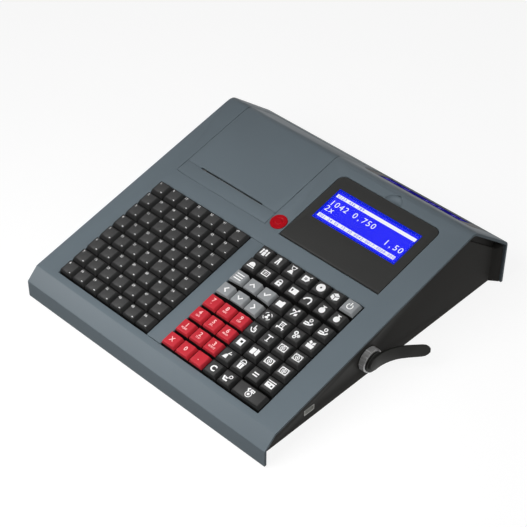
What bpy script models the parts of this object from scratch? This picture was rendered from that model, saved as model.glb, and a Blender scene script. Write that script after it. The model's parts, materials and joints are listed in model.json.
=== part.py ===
import math

import bmesh
import bpy
from mathutils import Matrix, Vector

# Sizes are in metres. X runs to the right, Y to the back and Z up. Sizes named "front", "v" or
# "along" on the keyboard slope are measured up the slope from its front edge, and "drop" on the
# rear slope is measured down from the crown. Heights on a slope are square to it.

# Cover
foot_height = 0.002
lip_height = 0.020
bevel_run = 0.0136
bevel_rise = 0.0133
slope_angle = math.radians(13.6)
crown_margin = 0.0178
rear_run = 0.0617
rear_drop = 0.0495
cover_wall = 0.003
lip_radius = 0.0015
bevel_radius = 0.003
crown_radius = 0.013
rear_radius = 0.008

# Clearances
seat_gap = 0.0003
run_gap = 0.0005
overrun = 0.006
weld_overlap = 0.0006
weld_distance = 0.00001

# Keys
key_pitch = 0.019
key_columns = 7
key_rows = 8
block_gap = 0.0189
keyboard_left_margin = 0.0262
keyboard_right_margin = 0.0289
keyboard_front = 0.0077
keyboard_margin = 0.00025
key_gap = 0.001
key_travel = 0.0035
cap_edge_height = 0.0007
cap_bevel_run = 0.0021
cap_bevel_rise = 0.0042
cap_skirt = 0.005
key_web = 0.002
stem_width = 0.005
stem_length = 0.009
guide_plate = 0.002
guide_rim = 0.0025
guide_rim_clear = 0.0005
circuit_board = 0.0016
divider_leg = 0.004

# Round button
button_lid_gap = 0.0110
button_setback = 0.0314
button_radius = 0.0092
button_height = 0.0008
button_head = 0.0042
button_stem_radius = 0.003
button_stem = 0.008
button_edge = 0.0006
button_sides = 32

# Operator display
display_lid_gap = 0.0221
display_right_margin = 0.0292
display_setback = 0.0209
display_depth = 0.0973
display_thickness = 0.014
display_corner = 0.008
display_side_gap = 0.0006
display_front_gap = 0.0015
display_rear_gap = 0.0008
display_axis_inset = 0.0045
display_axis_drop = 0.0055
display_front_edge = 0.0023
display_pin_radius = 0.00125
lcd_left_inset = 0.0116
lcd_right_inset = 0.0115
lcd_front_inset = 0.0367
lcd_back_inset = 0.0169
lcd_border = 0.002
lcd_thickness = 0.008
lcd_glass = 0.001
pane_border = 0.0015
pane_thickness = 0.0012
pane_sink = 0.0001
scoop_radius = 0.0105
scoop_depth = 0.006
scoop_wall = 0.0022
scoop_shift = 0.0014
pillar_thickness = 0.003
pillar_inset = 0.012
pillar_head = 0.0028
pillar_foot = 0.009
pillar_notch = 0.0015
pillar_notch_depth = 0.0115

# Customer display
customer_lead = 0.0060
customer_right_margin = 0.0230
customer_drop = 0.026
customer_rear_margin = 0.0071
customer_corner = 0.012
customer_plate = 0.002
customer_sink = 0.0004
customer_view_side = 0.017
customer_view_border = 0.008
customer_module_border = 0.003
customer_module = 0.007

# Printer
printer_shift = 0.0003
lid_left_margin = 0.0268
lid_width = 0.1301
lid_wall = 0.0025
lid_hinge_margin = 0.0231
lid_barrel_radius = 0.004
lid_pin_radius = 0.00125
lid_lug = 0.003
lid_lug_radius = 0.0035
strip_setback = 0.0215
strip_depth = 0.0173
slot_side = 0.00365
slot_lid_notch = 0.0014
tear_bar_thickness = 0.0006
tear_bar_height = 0.005
tear_tooth_pitch = 0.0044
tear_teeth_share = 0.42
tear_tooth_height = 0.0008
platen_setback = 0.0095
platen_depth = 0.0125
platen_radius = 0.006
platen_side_gap = 0.001
platen_shaft_radius = 0.0015
platen_ear = 0.0025
platen_ear_radius = 0.003
platen_end_gap = 0.0004
gear_width = 0.004
gear_module = 0.0007
platen_teeth = 24
pinion_teeth = 12
gear_backlash = 0.0002
tooth_tip_share = 0.11
tooth_root_share = 0.27
tooth_tip_modules_share = 0.85
tooth_root_modules_share = 1.2
pinion_shaft_radius = 0.00125
motor_radius = 0.0062
motor_length = 0.018
motor_bore_depth = 0.010
head_thickness = 0.004
head_below = 0.011
head_above = 0.007
bin_side_gap = 0.00125
bin_wall = 0.002
bin_cheek = 0.0025
roll_room = 0.003
bin_setback = 0.0433
bin_foot = 0.002
bin_foot_half_depth = 0.024
cheek_front_foot = 0.028
cheek_rear_foot = 0.030
cheek_rear_wall = 0.003
cheek_rear_drop = 0.0428
cheek_top_setback = 0.0415
cheek_front_lead = 0.0028
cheek_top_depth = 0.0165
cheek_front_depth = 0.038
roll_radius = 0.030
roll_width = 0.0795
roll_core_radius = 0.006

# Base tub
base_inset = 0.0118
base_wall = 0.003
rim_step = 0.0025
rim_height = 0.009
ear_start = 0.0102
ear_reach = 0.0093
foot_radius = 0.008
foot_pocket = 0.0015
foot_inset_x = 0.022
foot_inset_front = 0.024
foot_inset_rear = 0.026
foot_sides = 24

# Main board and sockets
board_bin_gap = 0.0343
board_wall_gap = 0.0052
board_front = 0.050
board_pillar_gap = 0.0018
board_boss_radius = 0.003
board_boss_inset = 0.006
usb_y = 0.0735
usb_z = 0.0142
usb_width = 0.0138
usb_height = 0.0062
usb_length = 0.014
usb_wall = 0.0005
usb_pocket = 0.011
usb_stand = 0.0002
inlet_inset = 0.040
inlet_z = 0.014
inlet_width = 0.014
inlet_height = 0.011
inlet_length = 0.014
inlet_bore_radius = 0.0033
inlet_bore = 0.009
bay_half_width = 0.020
bay_height = 0.024

# Lock and operator key
lock_y = 0.1562
lock_z = 0.0258
lock_radius = 0.0132
lock_stand = 0.0072
lock_sleeve_radius = 0.0112
lock_sleeve = 0.012
lock_bore_radius = 0.0094
lock_floor = 0.002
key_plug_radius = 0.009
key_hub_radius = 0.0116
key_hub = 0.002
handle_hub_thickness = 0.0030
handle_tip_thickness = 0.0020
handle_straight = 0.0104
handle_bend_radius = 0.050
handle_bend = math.radians(41)
handle_reach = 0.0235
handle_hub_height = 0.0174
handle_tip_height = 0.0152
handle_least_share = 0.3
handle_steps = 18
lock_sides = 36

# Fineness of round shapes
arc_steps = 6
pin_sides = 12
round_sides = 32
smooth_angle = math.radians(30)
flat_angle = math.radians(0.5)
facing_share = 0.9

# What the cover holds sets its width and the length of its slope
keyboard_width = 2 * key_columns * key_pitch + block_gap
keyboard_depth = key_rows * key_pitch
cover_width = keyboard_left_margin + keyboard_width + keyboard_right_margin
keyboard_left = keyboard_left_margin - cover_width / 2
keyboard_right = keyboard_left + keyboard_width
keyboard_back = keyboard_front + keyboard_depth
display_front = keyboard_back + display_setback
display_back = display_front + display_depth
slope_length = display_back + crown_margin
strip_front = keyboard_back + strip_setback
lid_front = strip_front + strip_depth
lid_left = lid_left_margin - cover_width / 2
lid_right = lid_left + lid_width
button_x = lid_right + button_lid_gap
button_along = keyboard_back + button_setback
display_left = lid_right + display_lid_gap
display_right = cover_width / 2 - display_right_margin
display_middle = (display_left + display_right) / 2
display_axis_along = display_front + display_axis_inset
printer_x = (lid_left + lid_right) / 2 + printer_shift
bin_radius = roll_radius + roll_room
bin_left = printer_x - roll_width / 2 - bin_side_gap
bin_right = printer_x + roll_width / 2 + bin_side_gap

# Places that follow from the sizes
overall_depth = bevel_run + slope_length * math.cos(slope_angle) + rear_run
slope_base_z = foot_height + lip_height + bevel_rise
crown_y = bevel_run + slope_length * math.cos(slope_angle)
crown_z = slope_base_z + slope_length * math.sin(slope_angle)
rear_angle = math.atan2(rear_drop, rear_run)
rear_length = math.hypot(rear_run, rear_drop)
rear_top_z = crown_z - rear_drop
lid_hinge_drop = rear_length - lid_hinge_margin
customer_left = display_left - customer_lead
customer_right = cover_width / 2 - customer_right_margin
customer_height = rear_length - customer_drop - customer_rear_margin
along_slope = Vector((math.cos(slope_angle), math.sin(slope_angle)))
off_slope = Vector((-math.sin(slope_angle), math.cos(slope_angle)))
down_rear = Vector((math.cos(rear_angle), -math.sin(rear_angle)))
off_rear = Vector((math.sin(rear_angle), math.cos(rear_angle)))
cover_corners = [
    Vector((0, foot_height)),
    Vector((0, foot_height + lip_height)),
    Vector((bevel_run, slope_base_z)),
    Vector((crown_y, crown_z)),
    Vector((overall_depth, rear_top_z)),
    Vector((overall_depth, foot_height)),
]
cover_radii = [0, lip_radius, bevel_radius, crown_radius, rear_radius, 0]


def slope_point(along, height):
    return cover_corners[2] + along_slope * along + off_slope * height


def rear_point(drop, height):
    return cover_corners[3] + down_rear * drop + off_rear * height


# Outlines

def corner_arc(before, corner, after, radius):
    if radius <= 0:
        return [corner.copy()]
    to_before = (before - corner).normalized()
    to_after = (after - corner).normalized()
    half = to_before.angle(to_after) / 2
    reach = radius / math.tan(half)
    centre = corner + (to_before + to_after).normalized() * (radius / math.sin(half))
    first = corner + to_before * reach - centre
    last = corner + to_after * reach - centre
    turn = math.atan2(first.x * last.y - first.y * last.x, first.dot(last))
    points = []
    for step in range(arc_steps + 1):
        spin = Matrix.Rotation(turn * step / arc_steps, 2)
        points.append(centre + spin @ first)
    return points


def rounded(corners, radii):
    points = [corners[0].copy()]
    for i in range(1, len(corners) - 1):
        points += corner_arc(corners[i - 1], corners[i], corners[i + 1], radii[i])
    points.append(corners[-1].copy())
    return points


# The corners of a path moved inwards, to the right of its direction, by a wall
def moved_in(corners, wall):
    sides = []
    for first, last in zip(corners, corners[1:]):
        run = (last - first).normalized()
        sides.append((first + Vector((run.y, -run.x)) * wall, run))
    moved = [sides[0][0]]
    for (start, run), (other, other_run) in zip(sides, sides[1:]):
        cross = run.x * other_run.y - run.y * other_run.x
        gap = other - start
        reach = (gap.x * other_run.y - gap.y * other_run.x) / cross
        moved.append(start + run * reach)
    length = (corners[-1] - corners[-2]).length
    last_run = (corners[-1] - corners[-2]).normalized()
    moved.append(corners[-2] + Vector((last_run.y, -last_run.x)) * wall + last_run * length)
    return moved


def inner_radii(radii, wall):
    return [max(radius - wall, 0) for radius in radii]


# Solids

def solid_from(points, direction):
    bm = bmesh.new()
    face = bm.faces.new([bm.verts.new(point) for point in points])
    grown = bmesh.ops.extrude_face_region(bm, geom=[face])
    moved = [item for item in grown["geom"] if isinstance(item, bmesh.types.BMVert)]
    bmesh.ops.translate(bm, verts=moved, vec=direction)
    bmesh.ops.recalc_face_normals(bm, faces=bm.faces[:])
    return bm


# A side outline in Y and Z, drawn out along X
def across(outline, low, high):
    return solid_from([(low, p.x, p.y) for p in outline], Vector((high - low, 0, 0)))


def block(low, high):
    bm = bmesh.new()
    size = Vector(high) - Vector(low)
    middle = (Vector(high) + Vector(low)) / 2
    place = Matrix.Translation(middle) @ Matrix.Diagonal((*size, 1))
    bmesh.ops.create_cube(bm, size=1, matrix=place)
    return bm


def rod(start, length, radius, sides, axis="X"):
    bm = bmesh.new()
    turn = Matrix.Rotation(math.pi / 2, 4, "Y") if axis == "X" else Matrix.Rotation(0, 4, "Z")
    run = Vector((length / 2, 0, 0)) if axis == "X" else Vector((0, 0, length / 2))
    bmesh.ops.create_cone(
        bm,
        cap_ends=True,
        segments=sides,
        radius1=radius,
        radius2=radius,
        depth=abs(length),
        matrix=Matrix.Translation(Vector(start) + run) @ turn,
    )
    return bm


# A profile of (radius, along) points, turned about X or Z through a start point
def turned(profile, start, sides, axis="X", closed=False):
    bm = bmesh.new()
    if axis == "X":
        verts = [bm.verts.new((along, radius, 0)) for radius, along in profile]
        about = Vector((1, 0, 0))
    else:
        verts = [bm.verts.new((radius, 0, along)) for radius, along in profile]
        about = Vector((0, 0, 1))
    pairs = list(zip(verts, verts[1:]))
    if closed:
        pairs.append((verts[-1], verts[0]))
    edges = [bm.edges.new(pair) for pair in pairs]
    bmesh.ops.spin(
        bm,
        geom=verts + edges,
        cent=(0, 0, 0),
        axis=about,
        angle=2 * math.pi,
        steps=sides,
        use_merge=True,
    )
    bmesh.ops.remove_doubles(bm, verts=bm.verts[:], dist=weld_distance)
    bmesh.ops.recalc_face_normals(bm, faces=bm.faces[:])
    bmesh.ops.translate(bm, verts=bm.verts[:], vec=Vector(start))
    return bm


def round_edges(bm, wanted, radius, steps):
    edges = [edge for edge in bm.edges if wanted(edge.verts[0].co, edge.verts[1].co)]
    bmesh.ops.bevel(
        bm,
        geom=edges,
        offset=radius,
        offset_type="OFFSET",
        segments=steps,
        profile=0.5,
        affect="EDGES",
    )
    return bm


def merged(parts):
    whole = bmesh.new()
    for part in parts:
        mesh = bpy.data.meshes.new("part")
        part.to_mesh(mesh)
        part.free()
        whole.from_mesh(mesh)
        bpy.data.meshes.remove(mesh)
    return whole


# Objects

def material(name, colour, roughness, metallic=0.0):
    made = bpy.data.materials.new(name)
    made.use_nodes = True
    shader = made.node_tree.nodes["Principled BSDF"]
    shader.inputs["Base Color"].default_value = (*colour, 1)
    shader.inputs["Roughness"].default_value = roughness
    shader.inputs["Metallic"].default_value = metallic
    made.diffuse_color = (*colour, 1)
    return made


def frame(name, parent, location, tilt=0.0):
    empty = bpy.data.objects.new(name, None)
    bpy.context.scene.collection.objects.link(empty)
    empty.parent = parent
    empty.location = location
    empty.rotation_euler = (tilt, 0, 0)
    return empty


def put(name, bm, parent, finish=None, origin=(0, 0, 0)):
    bmesh.ops.translate(bm, verts=bm.verts[:], vec=-Vector(origin))
    mesh = bpy.data.meshes.new(name)
    bm.to_mesh(mesh)
    bm.free()
    made = bpy.data.objects.new(name, mesh)
    bpy.context.scene.collection.objects.link(made)
    made.parent = parent
    made.location = origin
    if finish:
        mesh.materials.append(finish)
        mesh.shade_smooth()
        mesh.set_sharp_from_angle(angle=smooth_angle)
    return made


def tool(name, bm, parent):
    made = put(name, bm, parent)
    made.hide_render = True
    made.display_type = "WIRE"
    return made


def change(target, with_tool, operation):
    made = target.modifiers.new(with_tool.name, "BOOLEAN")
    made.operation = operation
    made.object = with_tool
    made.solver = "EXACT"


def cut(target, with_tool):
    change(target, with_tool, "DIFFERENCE")


def join(target, with_tool):
    change(target, with_tool, "UNION")


for old in list(bpy.data.objects):
    bpy.data.objects.remove(old, do_unlink=True)

cover_grey = material("cover_grey", (0.145, 0.180, 0.195), 0.45)
base_black = material("base_black", (0.030, 0.030, 0.027), 0.5)
key_black = material("key_black", (0.045, 0.045, 0.045), 0.5)
key_red = material("key_red", (0.58, 0.045, 0.06), 0.4)
key_grey = material("key_grey", (0.26, 0.28, 0.29), 0.45)
button_red = material("button_red", (0.45, 0.005, 0.01), 0.35)
lcd_blue = material("lcd_blue", (0.03, 0.03, 1.0), 0.3)
clear = material("clear", (0.7, 0.75, 0.8), 0.1)
steel = material("steel", (0.45, 0.45, 0.44), 0.3, 1.0)
rubber = material("rubber", (0.02, 0.02, 0.02), 0.8)
board_green = material("board_green", (0.02, 0.14, 0.06), 0.5)
white_plastic = material("white_plastic", (0.7, 0.7, 0.68), 0.5)
paper = material("paper", (0.85, 0.85, 0.83), 0.9)

# Where the lock ring and the operator key stand on the right wall
half_base = cover_width / 2 - base_inset
ring_outer = half_base + seat_gap + lock_stand
hub_low = ring_outer + seat_gap
hub_high = hub_low + key_hub
handle_length = handle_straight + handle_bend_radius * handle_bend + handle_reach


# A point of the handle's inner face at a length along it, and the handle's direction there
def handle_at(length):
    turn = (length - handle_straight) / handle_bend_radius
    turn = min(max(turn, 0), handle_bend)
    run = Vector((math.sin(turn), math.cos(turn)))
    rest = max(length - handle_length + handle_reach, 0)
    point = Vector((hub_high - weld_overlap, lock_y - handle_hub_height / 2))
    point += Vector((0, min(length, handle_straight)))
    point += Vector((1 - run.y, run.x)) * handle_bend_radius + run * rest
    return point, run


# The frames: the whole register, its keyboard slope and its rear slope. The register's origin is on
# the floor, below the middle of the box around it, and the key's handle reaches out on the right.
handle_tip, tip_run = handle_at(handle_length)
handle_tip_x = handle_tip.x + tip_run.y * handle_tip_thickness
register = frame(
    "register_frame", None, ((cover_width / 2 - handle_tip_x) / 2, -overall_depth / 2, 0)
)
slope = frame("slope_frame", register, (0, bevel_run, slope_base_z), slope_angle)
rear_slope = frame("rear_slope_frame", register, (0, crown_y, crown_z), -rear_angle)

# Where the openings in the cover are
lid_axis = rear_point(lid_hinge_drop, -lid_barrel_radius)
board_right = half_base - base_wall - board_wall_gap
inlet_x = board_right - inlet_inset
lid_opening_end = lid_hinge_drop + lid_barrel_radius + run_gap
pillar_places = (
    display_left + pillar_inset,
    display_right - pillar_inset - pillar_thickness,
)

# Top cover: a bent shell, open at both ends
cover_outline = rounded(cover_corners, cover_radii)
cover_outline += reversed(
    rounded(moved_in(cover_corners, cover_wall), inner_radii(cover_radii, cover_wall))
)
top_cover = put(
    "top_cover", across(cover_outline, -cover_width / 2, cover_width / 2), register, cover_grey
)

# A shallow cup behind the display's rear edge holds the finger scoop
cup = bmesh.new()
bmesh.ops.create_uvsphere(cup, u_segments=round_sides, v_segments=arc_steps * 2, radius=1)
scoop_place = Vector((display_middle + scoop_shift, display_back + display_rear_gap, 0))
cup_size = (
    scoop_radius + scoop_wall,
    scoop_radius + scoop_wall,
    scoop_depth + scoop_wall,
)
bmesh.ops.transform(
    cup, matrix=Matrix.Translation(scoop_place) @ Matrix.Diagonal((*cup_size, 1)), verts=cup.verts[:]
)
bmesh.ops.bisect_plane(
    cup,
    geom=cup.verts[:] + cup.edges[:] + cup.faces[:],
    plane_co=(0, 0, -cover_wall + weld_overlap),
    plane_no=(0, 0, 1),
    clear_outer=True,
)
bmesh.ops.holes_fill(cup, edges=[edge for edge in cup.edges if edge.is_boundary])
bmesh.ops.recalc_face_normals(cup, faces=cup.faces[:])
join(top_cover, tool("scoop_cup", cup, slope))

# Lugs under the rear slope carry the lid's hinge pin
lug_top = -cover_wall + weld_overlap


def lug_outline():
    outline = [rear_point(lid_hinge_drop - lid_lug_radius, lug_top)]
    for step in range(2 * arc_steps + 1):
        turn = math.pi + math.pi * step / (2 * arc_steps)
        outline.append(
            rear_point(
                lid_hinge_drop + lid_lug_radius * math.cos(turn),
                -lid_barrel_radius + lid_lug_radius * math.sin(turn),
            )
        )
    outline.append(rear_point(lid_hinge_drop + lid_lug_radius, lug_top))
    return outline


left_lug_x = lid_left - run_gap - lid_lug
right_lug_x = lid_right + run_gap
join(
    top_cover,
    tool(
        "lid_lugs",
        merged(
            [
                across(lug_outline(), left_lug_x, left_lug_x + lid_lug),
                across(lug_outline(), right_lug_x, right_lug_x + lid_lug),
            ]
        ),
        register,
    ),
)
lid_pin_start = left_lug_x - overrun
lid_pin_bore = rod(
    (lid_pin_start, lid_axis.x, lid_axis.y),
    right_lug_x + lid_lug + overrun - lid_pin_start,
    lid_pin_radius + seat_gap,
    pin_sides,
)
cut(top_cover, tool("lid_pin_bore", lid_pin_bore, register))

# Openings for the keys, the display, the button, the lid and the customer display
opening_low = -cover_wall - overrun
keyboard_opening = block(
    (keyboard_left - keyboard_margin, keyboard_front - keyboard_margin, opening_low),
    (keyboard_right + keyboard_margin, keyboard_back + keyboard_margin, overrun),
)
cut(top_cover, tool("keyboard_opening", keyboard_opening, slope))
display_opening = block(
    (display_left - display_side_gap, display_front - display_front_gap, opening_low),
    (display_right + display_side_gap, display_back + display_rear_gap, overrun),
)
display_opening_back = display_back + display_rear_gap
round_edges(
    display_opening,
    lambda a, b: min(a.y, b.y) > display_opening_back - weld_distance and abs(a.z - b.z) > overrun,
    display_corner + display_side_gap,
    arc_steps,
)
cut(top_cover, tool("display_opening", display_opening, slope))
scoop = bmesh.new()
bmesh.ops.create_uvsphere(scoop, u_segments=round_sides, v_segments=arc_steps * 2, radius=1)
bmesh.ops.transform(
    scoop,
    matrix=Matrix.Translation(scoop_place)
    @ Matrix.Diagonal((scoop_radius, scoop_radius, scoop_depth, 1)),
    verts=scoop.verts[:],
)
cut(top_cover, tool("finger_scoop", scoop, slope))
button_hole = rod(
    (button_x, button_along, opening_low),
    overrun - opening_low,
    button_radius + seat_gap,
    button_sides,
    "Z",
)
cut(top_cover, tool("button_hole", button_hole, slope))
lid_opening_corners = [
    slope_point(strip_front - seat_gap, 0),
    cover_corners[3],
    rear_point(lid_opening_end, 0),
]
lid_opening = across(
    moved_in(lid_opening_corners, -overrun)
    + list(reversed(moved_in(lid_opening_corners, cover_wall + overrun / 2))),
    lid_left - run_gap,
    lid_right + run_gap,
)
cut(top_cover, tool("lid_opening", lid_opening, register))
customer_opening = block(
    (customer_left - seat_gap, customer_drop - seat_gap, opening_low),
    (customer_right + seat_gap, customer_drop + customer_height + seat_gap, overrun),
)
round_edges(
    customer_opening,
    lambda a, b: max(a.y, b.y) < customer_drop and abs(a.z - b.z) > overrun,
    customer_corner + seat_gap,
    arc_steps,
)
cut(top_cover, tool("customer_opening", customer_opening, rear_slope))
rear_bay = block(
    (inlet_x - bay_half_width, overall_depth - cover_wall - seat_gap, -overrun),
    (inlet_x + bay_half_width, overall_depth + overrun, foot_height + bay_height),
)
cut(top_cover, tool("rear_bay", rear_bay, register))

# Base tub: its plan flares out at the rear corners, and its sides follow the cover
tub_front = cover_wall + seat_gap
tub_rear = overall_depth - cover_wall - seat_gap
tub_plan = [
    (-half_base, tub_front),
    (half_base, tub_front),
    (half_base, overall_depth - ear_start),
    (half_base + ear_reach, tub_rear),
    (-half_base - ear_reach, tub_rear),
    (-half_base, overall_depth - ear_start),
]
base_tub = put(
    "base_tub",
    solid_from([(x, y, foot_height) for x, y in tub_plan], Vector((0, 0, crown_z))),
    register,
    base_black,
)
tub_fit = cover_wall + seat_gap
tub_side = rounded(moved_in(cover_corners, tub_fit), inner_radii(cover_radii, tub_fit))
change(
    base_tub,
    tool("tub_side", across(tub_side, -cover_width / 2, cover_width / 2), register),
    "INTERSECT",
)
tub_cavity = block(
    (-half_base + base_wall, tub_front + base_wall, foot_height + base_wall),
    (half_base - base_wall, tub_rear - base_wall, crown_z + overrun),
)
cut(base_tub, tool("tub_cavity", tub_cavity, register))
rim_corners = [cover_corners[2], cover_corners[3], cover_corners[4]]
rim_outline = moved_in(rim_corners, -overrun)
rim_outline += reversed(moved_in(rim_corners, tub_fit + rim_height))
rims = merged(
    [
        across(rim_outline, half_base - rim_step, half_base + ear_reach + overrun),
        across(rim_outline, -half_base - ear_reach - overrun, -half_base + rim_step),
    ]
)
cut(base_tub, tool("tub_rims", rims, register))

# Two pillars in the tub carry the display's hinge pin
display_axis = slope_point(display_axis_along, -display_axis_drop)
pillar_outline = [
    Vector((display_axis.x - pillar_foot, foot_height + weld_overlap)),
    Vector((display_axis.x + pillar_foot, foot_height + weld_overlap)),
]
for step in range(2 * arc_steps + 1):
    turn = math.pi * step / (2 * arc_steps)
    pillar_outline.append(
        display_axis + Vector((math.cos(turn), math.sin(turn))) * pillar_head
    )
pillars = merged([across(pillar_outline, x, x + pillar_thickness) for x in pillar_places])
join(base_tub, tool("display_pillars", pillars, register))
display_pin_bore = rod(
    (display_left, display_axis.x, display_axis.y),
    display_right - display_left,
    display_pin_radius + seat_gap,
    pin_sides,
)
cut(base_tub, tool("display_pin_bore", display_pin_bore, register))

# Bosses under the main board, which lies just below the data socket
tub_floor = foot_height + base_wall
board_top = usb_z - usb_height / 2 - seat_gap
board_low = board_top - circuit_board
board_boss_height = board_low - seat_gap - tub_floor
board_left = bin_right + bin_cheek + board_bin_gap
board_rear = display_axis.x - pillar_foot - board_pillar_gap
boss_places = [
    (x, y)
    for x in (board_left + board_boss_inset, board_right - board_boss_inset)
    for y in (board_front + board_boss_inset, board_rear - board_boss_inset)
]
bosses = merged(
    [
        rod(
            (x, y, tub_floor - weld_overlap),
            board_boss_height + weld_overlap,
            board_boss_radius,
            pin_sides,
            "Z",
        )
        for x, y in boss_places
    ]
)
join(base_tub, tool("board_bosses", bosses, register))

# Holes in the tub for the lock, the sockets and the feet
lock_hole = rod(
    (half_base - base_wall - overrun, lock_y, lock_z),
    base_wall + 2 * overrun,
    lock_sleeve_radius + seat_gap,
    lock_sides,
)
cut(base_tub, tool("lock_hole", lock_hole, register))
usb_hole = block(
    (
        half_base - base_wall - overrun,
        usb_y - usb_width / 2 - seat_gap,
        usb_z - usb_height / 2 - seat_gap,
    ),
    (half_base + overrun, usb_y + usb_width / 2 + seat_gap, usb_z + usb_height / 2 + seat_gap),
)
cut(base_tub, tool("usb_hole", usb_hole, register))
inlet_hole = block(
    (
        inlet_x - inlet_width / 2 - seat_gap,
        tub_rear - base_wall - overrun,
        inlet_z - inlet_height / 2 - seat_gap,
    ),
    (
        inlet_x + inlet_width / 2 + seat_gap,
        tub_rear + overrun,
        inlet_z + inlet_height / 2 + seat_gap,
    ),
)
cut(base_tub, tool("inlet_hole", inlet_hole, register))
foot_places = {
    "front_left_foot": (-half_base + foot_inset_x, foot_inset_front),
    "front_right_foot": (half_base - foot_inset_x, foot_inset_front),
    "rear_left_foot": (-half_base + foot_inset_x, overall_depth - foot_inset_rear),
    "rear_right_foot": (half_base - foot_inset_x, overall_depth - foot_inset_rear),
}
pockets = merged(
    [
        rod(
            (x, y, foot_height - overrun),
            overrun + foot_pocket,
            foot_radius + seat_gap,
            foot_sides,
            "Z",
        )
        for x, y in foot_places.values()
    ]
)
cut(base_tub, tool("foot_pockets", pockets, register))
foot_top = foot_height + foot_pocket - seat_gap
for name, (x, y) in foot_places.items():
    put(name, rod((x, y, 0), foot_top, foot_radius, foot_sides, "Z"), register, rubber, (x, y, 0))

# Key guide: a frame under the cover with a plate across it, and a hole for each stem
guide_top = -cap_skirt - key_travel - run_gap
keyboard_board_top = -cap_skirt - stem_length - key_travel - run_gap
guide_reach = keyboard_margin + guide_rim_clear + guide_rim
guide_left = keyboard_left - guide_reach
guide_right = keyboard_right + guide_reach
guide_front = keyboard_front - guide_reach
guide_back = keyboard_back + guide_reach
key_guide = put(
    "key_guide",
    block(
        (guide_left, guide_front, keyboard_board_top + seat_gap),
        (guide_right, guide_back, -cover_wall - seat_gap),
    ),
    slope,
    white_plastic,
)
guide_wells = merged(
    [
        block(
            (guide_left + guide_rim, guide_front + guide_rim, guide_top),
            (guide_right - guide_rim, guide_back - guide_rim, overrun),
        ),
        block(
            (guide_left + guide_rim, guide_front + guide_rim, keyboard_board_top - overrun),
            (guide_right - guide_rim, guide_back - guide_rim, guide_top - guide_plate),
        ),
    ]
)
cut(key_guide, tool("guide_wells", guide_wells, slope))


def cell_x(side, column):
    start = keyboard_left if side == "left" else keyboard_right - key_columns * key_pitch
    return start + (column + 0.5) * key_pitch


def cell_along(row):
    return keyboard_back - (row + 0.5) * key_pitch


stem_hole = stem_width / 2 + seat_gap
stem_holes = merged(
    [
        block(
            (cell_x(side, column) - stem_hole, cell_along(row) - stem_hole, guide_top - overrun),
            (cell_x(side, column) + stem_hole, cell_along(row) + stem_hole, guide_top + overrun / 2),
        )
        for side in ("left", "right")
        for column in range(key_columns)
        for row in range(key_rows)
    ]
)
cut(key_guide, tool("stem_holes", stem_holes, slope))
keyboard_board = block(
    (guide_left, guide_front, keyboard_board_top - circuit_board),
    (guide_right, guide_back, keyboard_board_top),
)
put("keyboard_board", keyboard_board, slope, board_green)

# The filler strip between the key blocks stands on the guide by a leg
divider_left = keyboard_left + key_columns * key_pitch
divider_middle = divider_left + block_gap / 2
divider = block(
    (divider_left, keyboard_front + seat_gap, -cover_wall),
    (divider_left + block_gap, keyboard_back - seat_gap, 0),
)
key_divider = put("key_divider", divider, slope, cover_grey)
leg = block(
    (divider_middle - divider_leg / 2, keyboard_front + key_pitch, guide_top + seat_gap),
    (divider_middle + divider_leg / 2, keyboard_back - key_pitch, -cover_wall + weld_overlap),
)
join(key_divider, tool("divider_legs", leg, slope))


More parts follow.
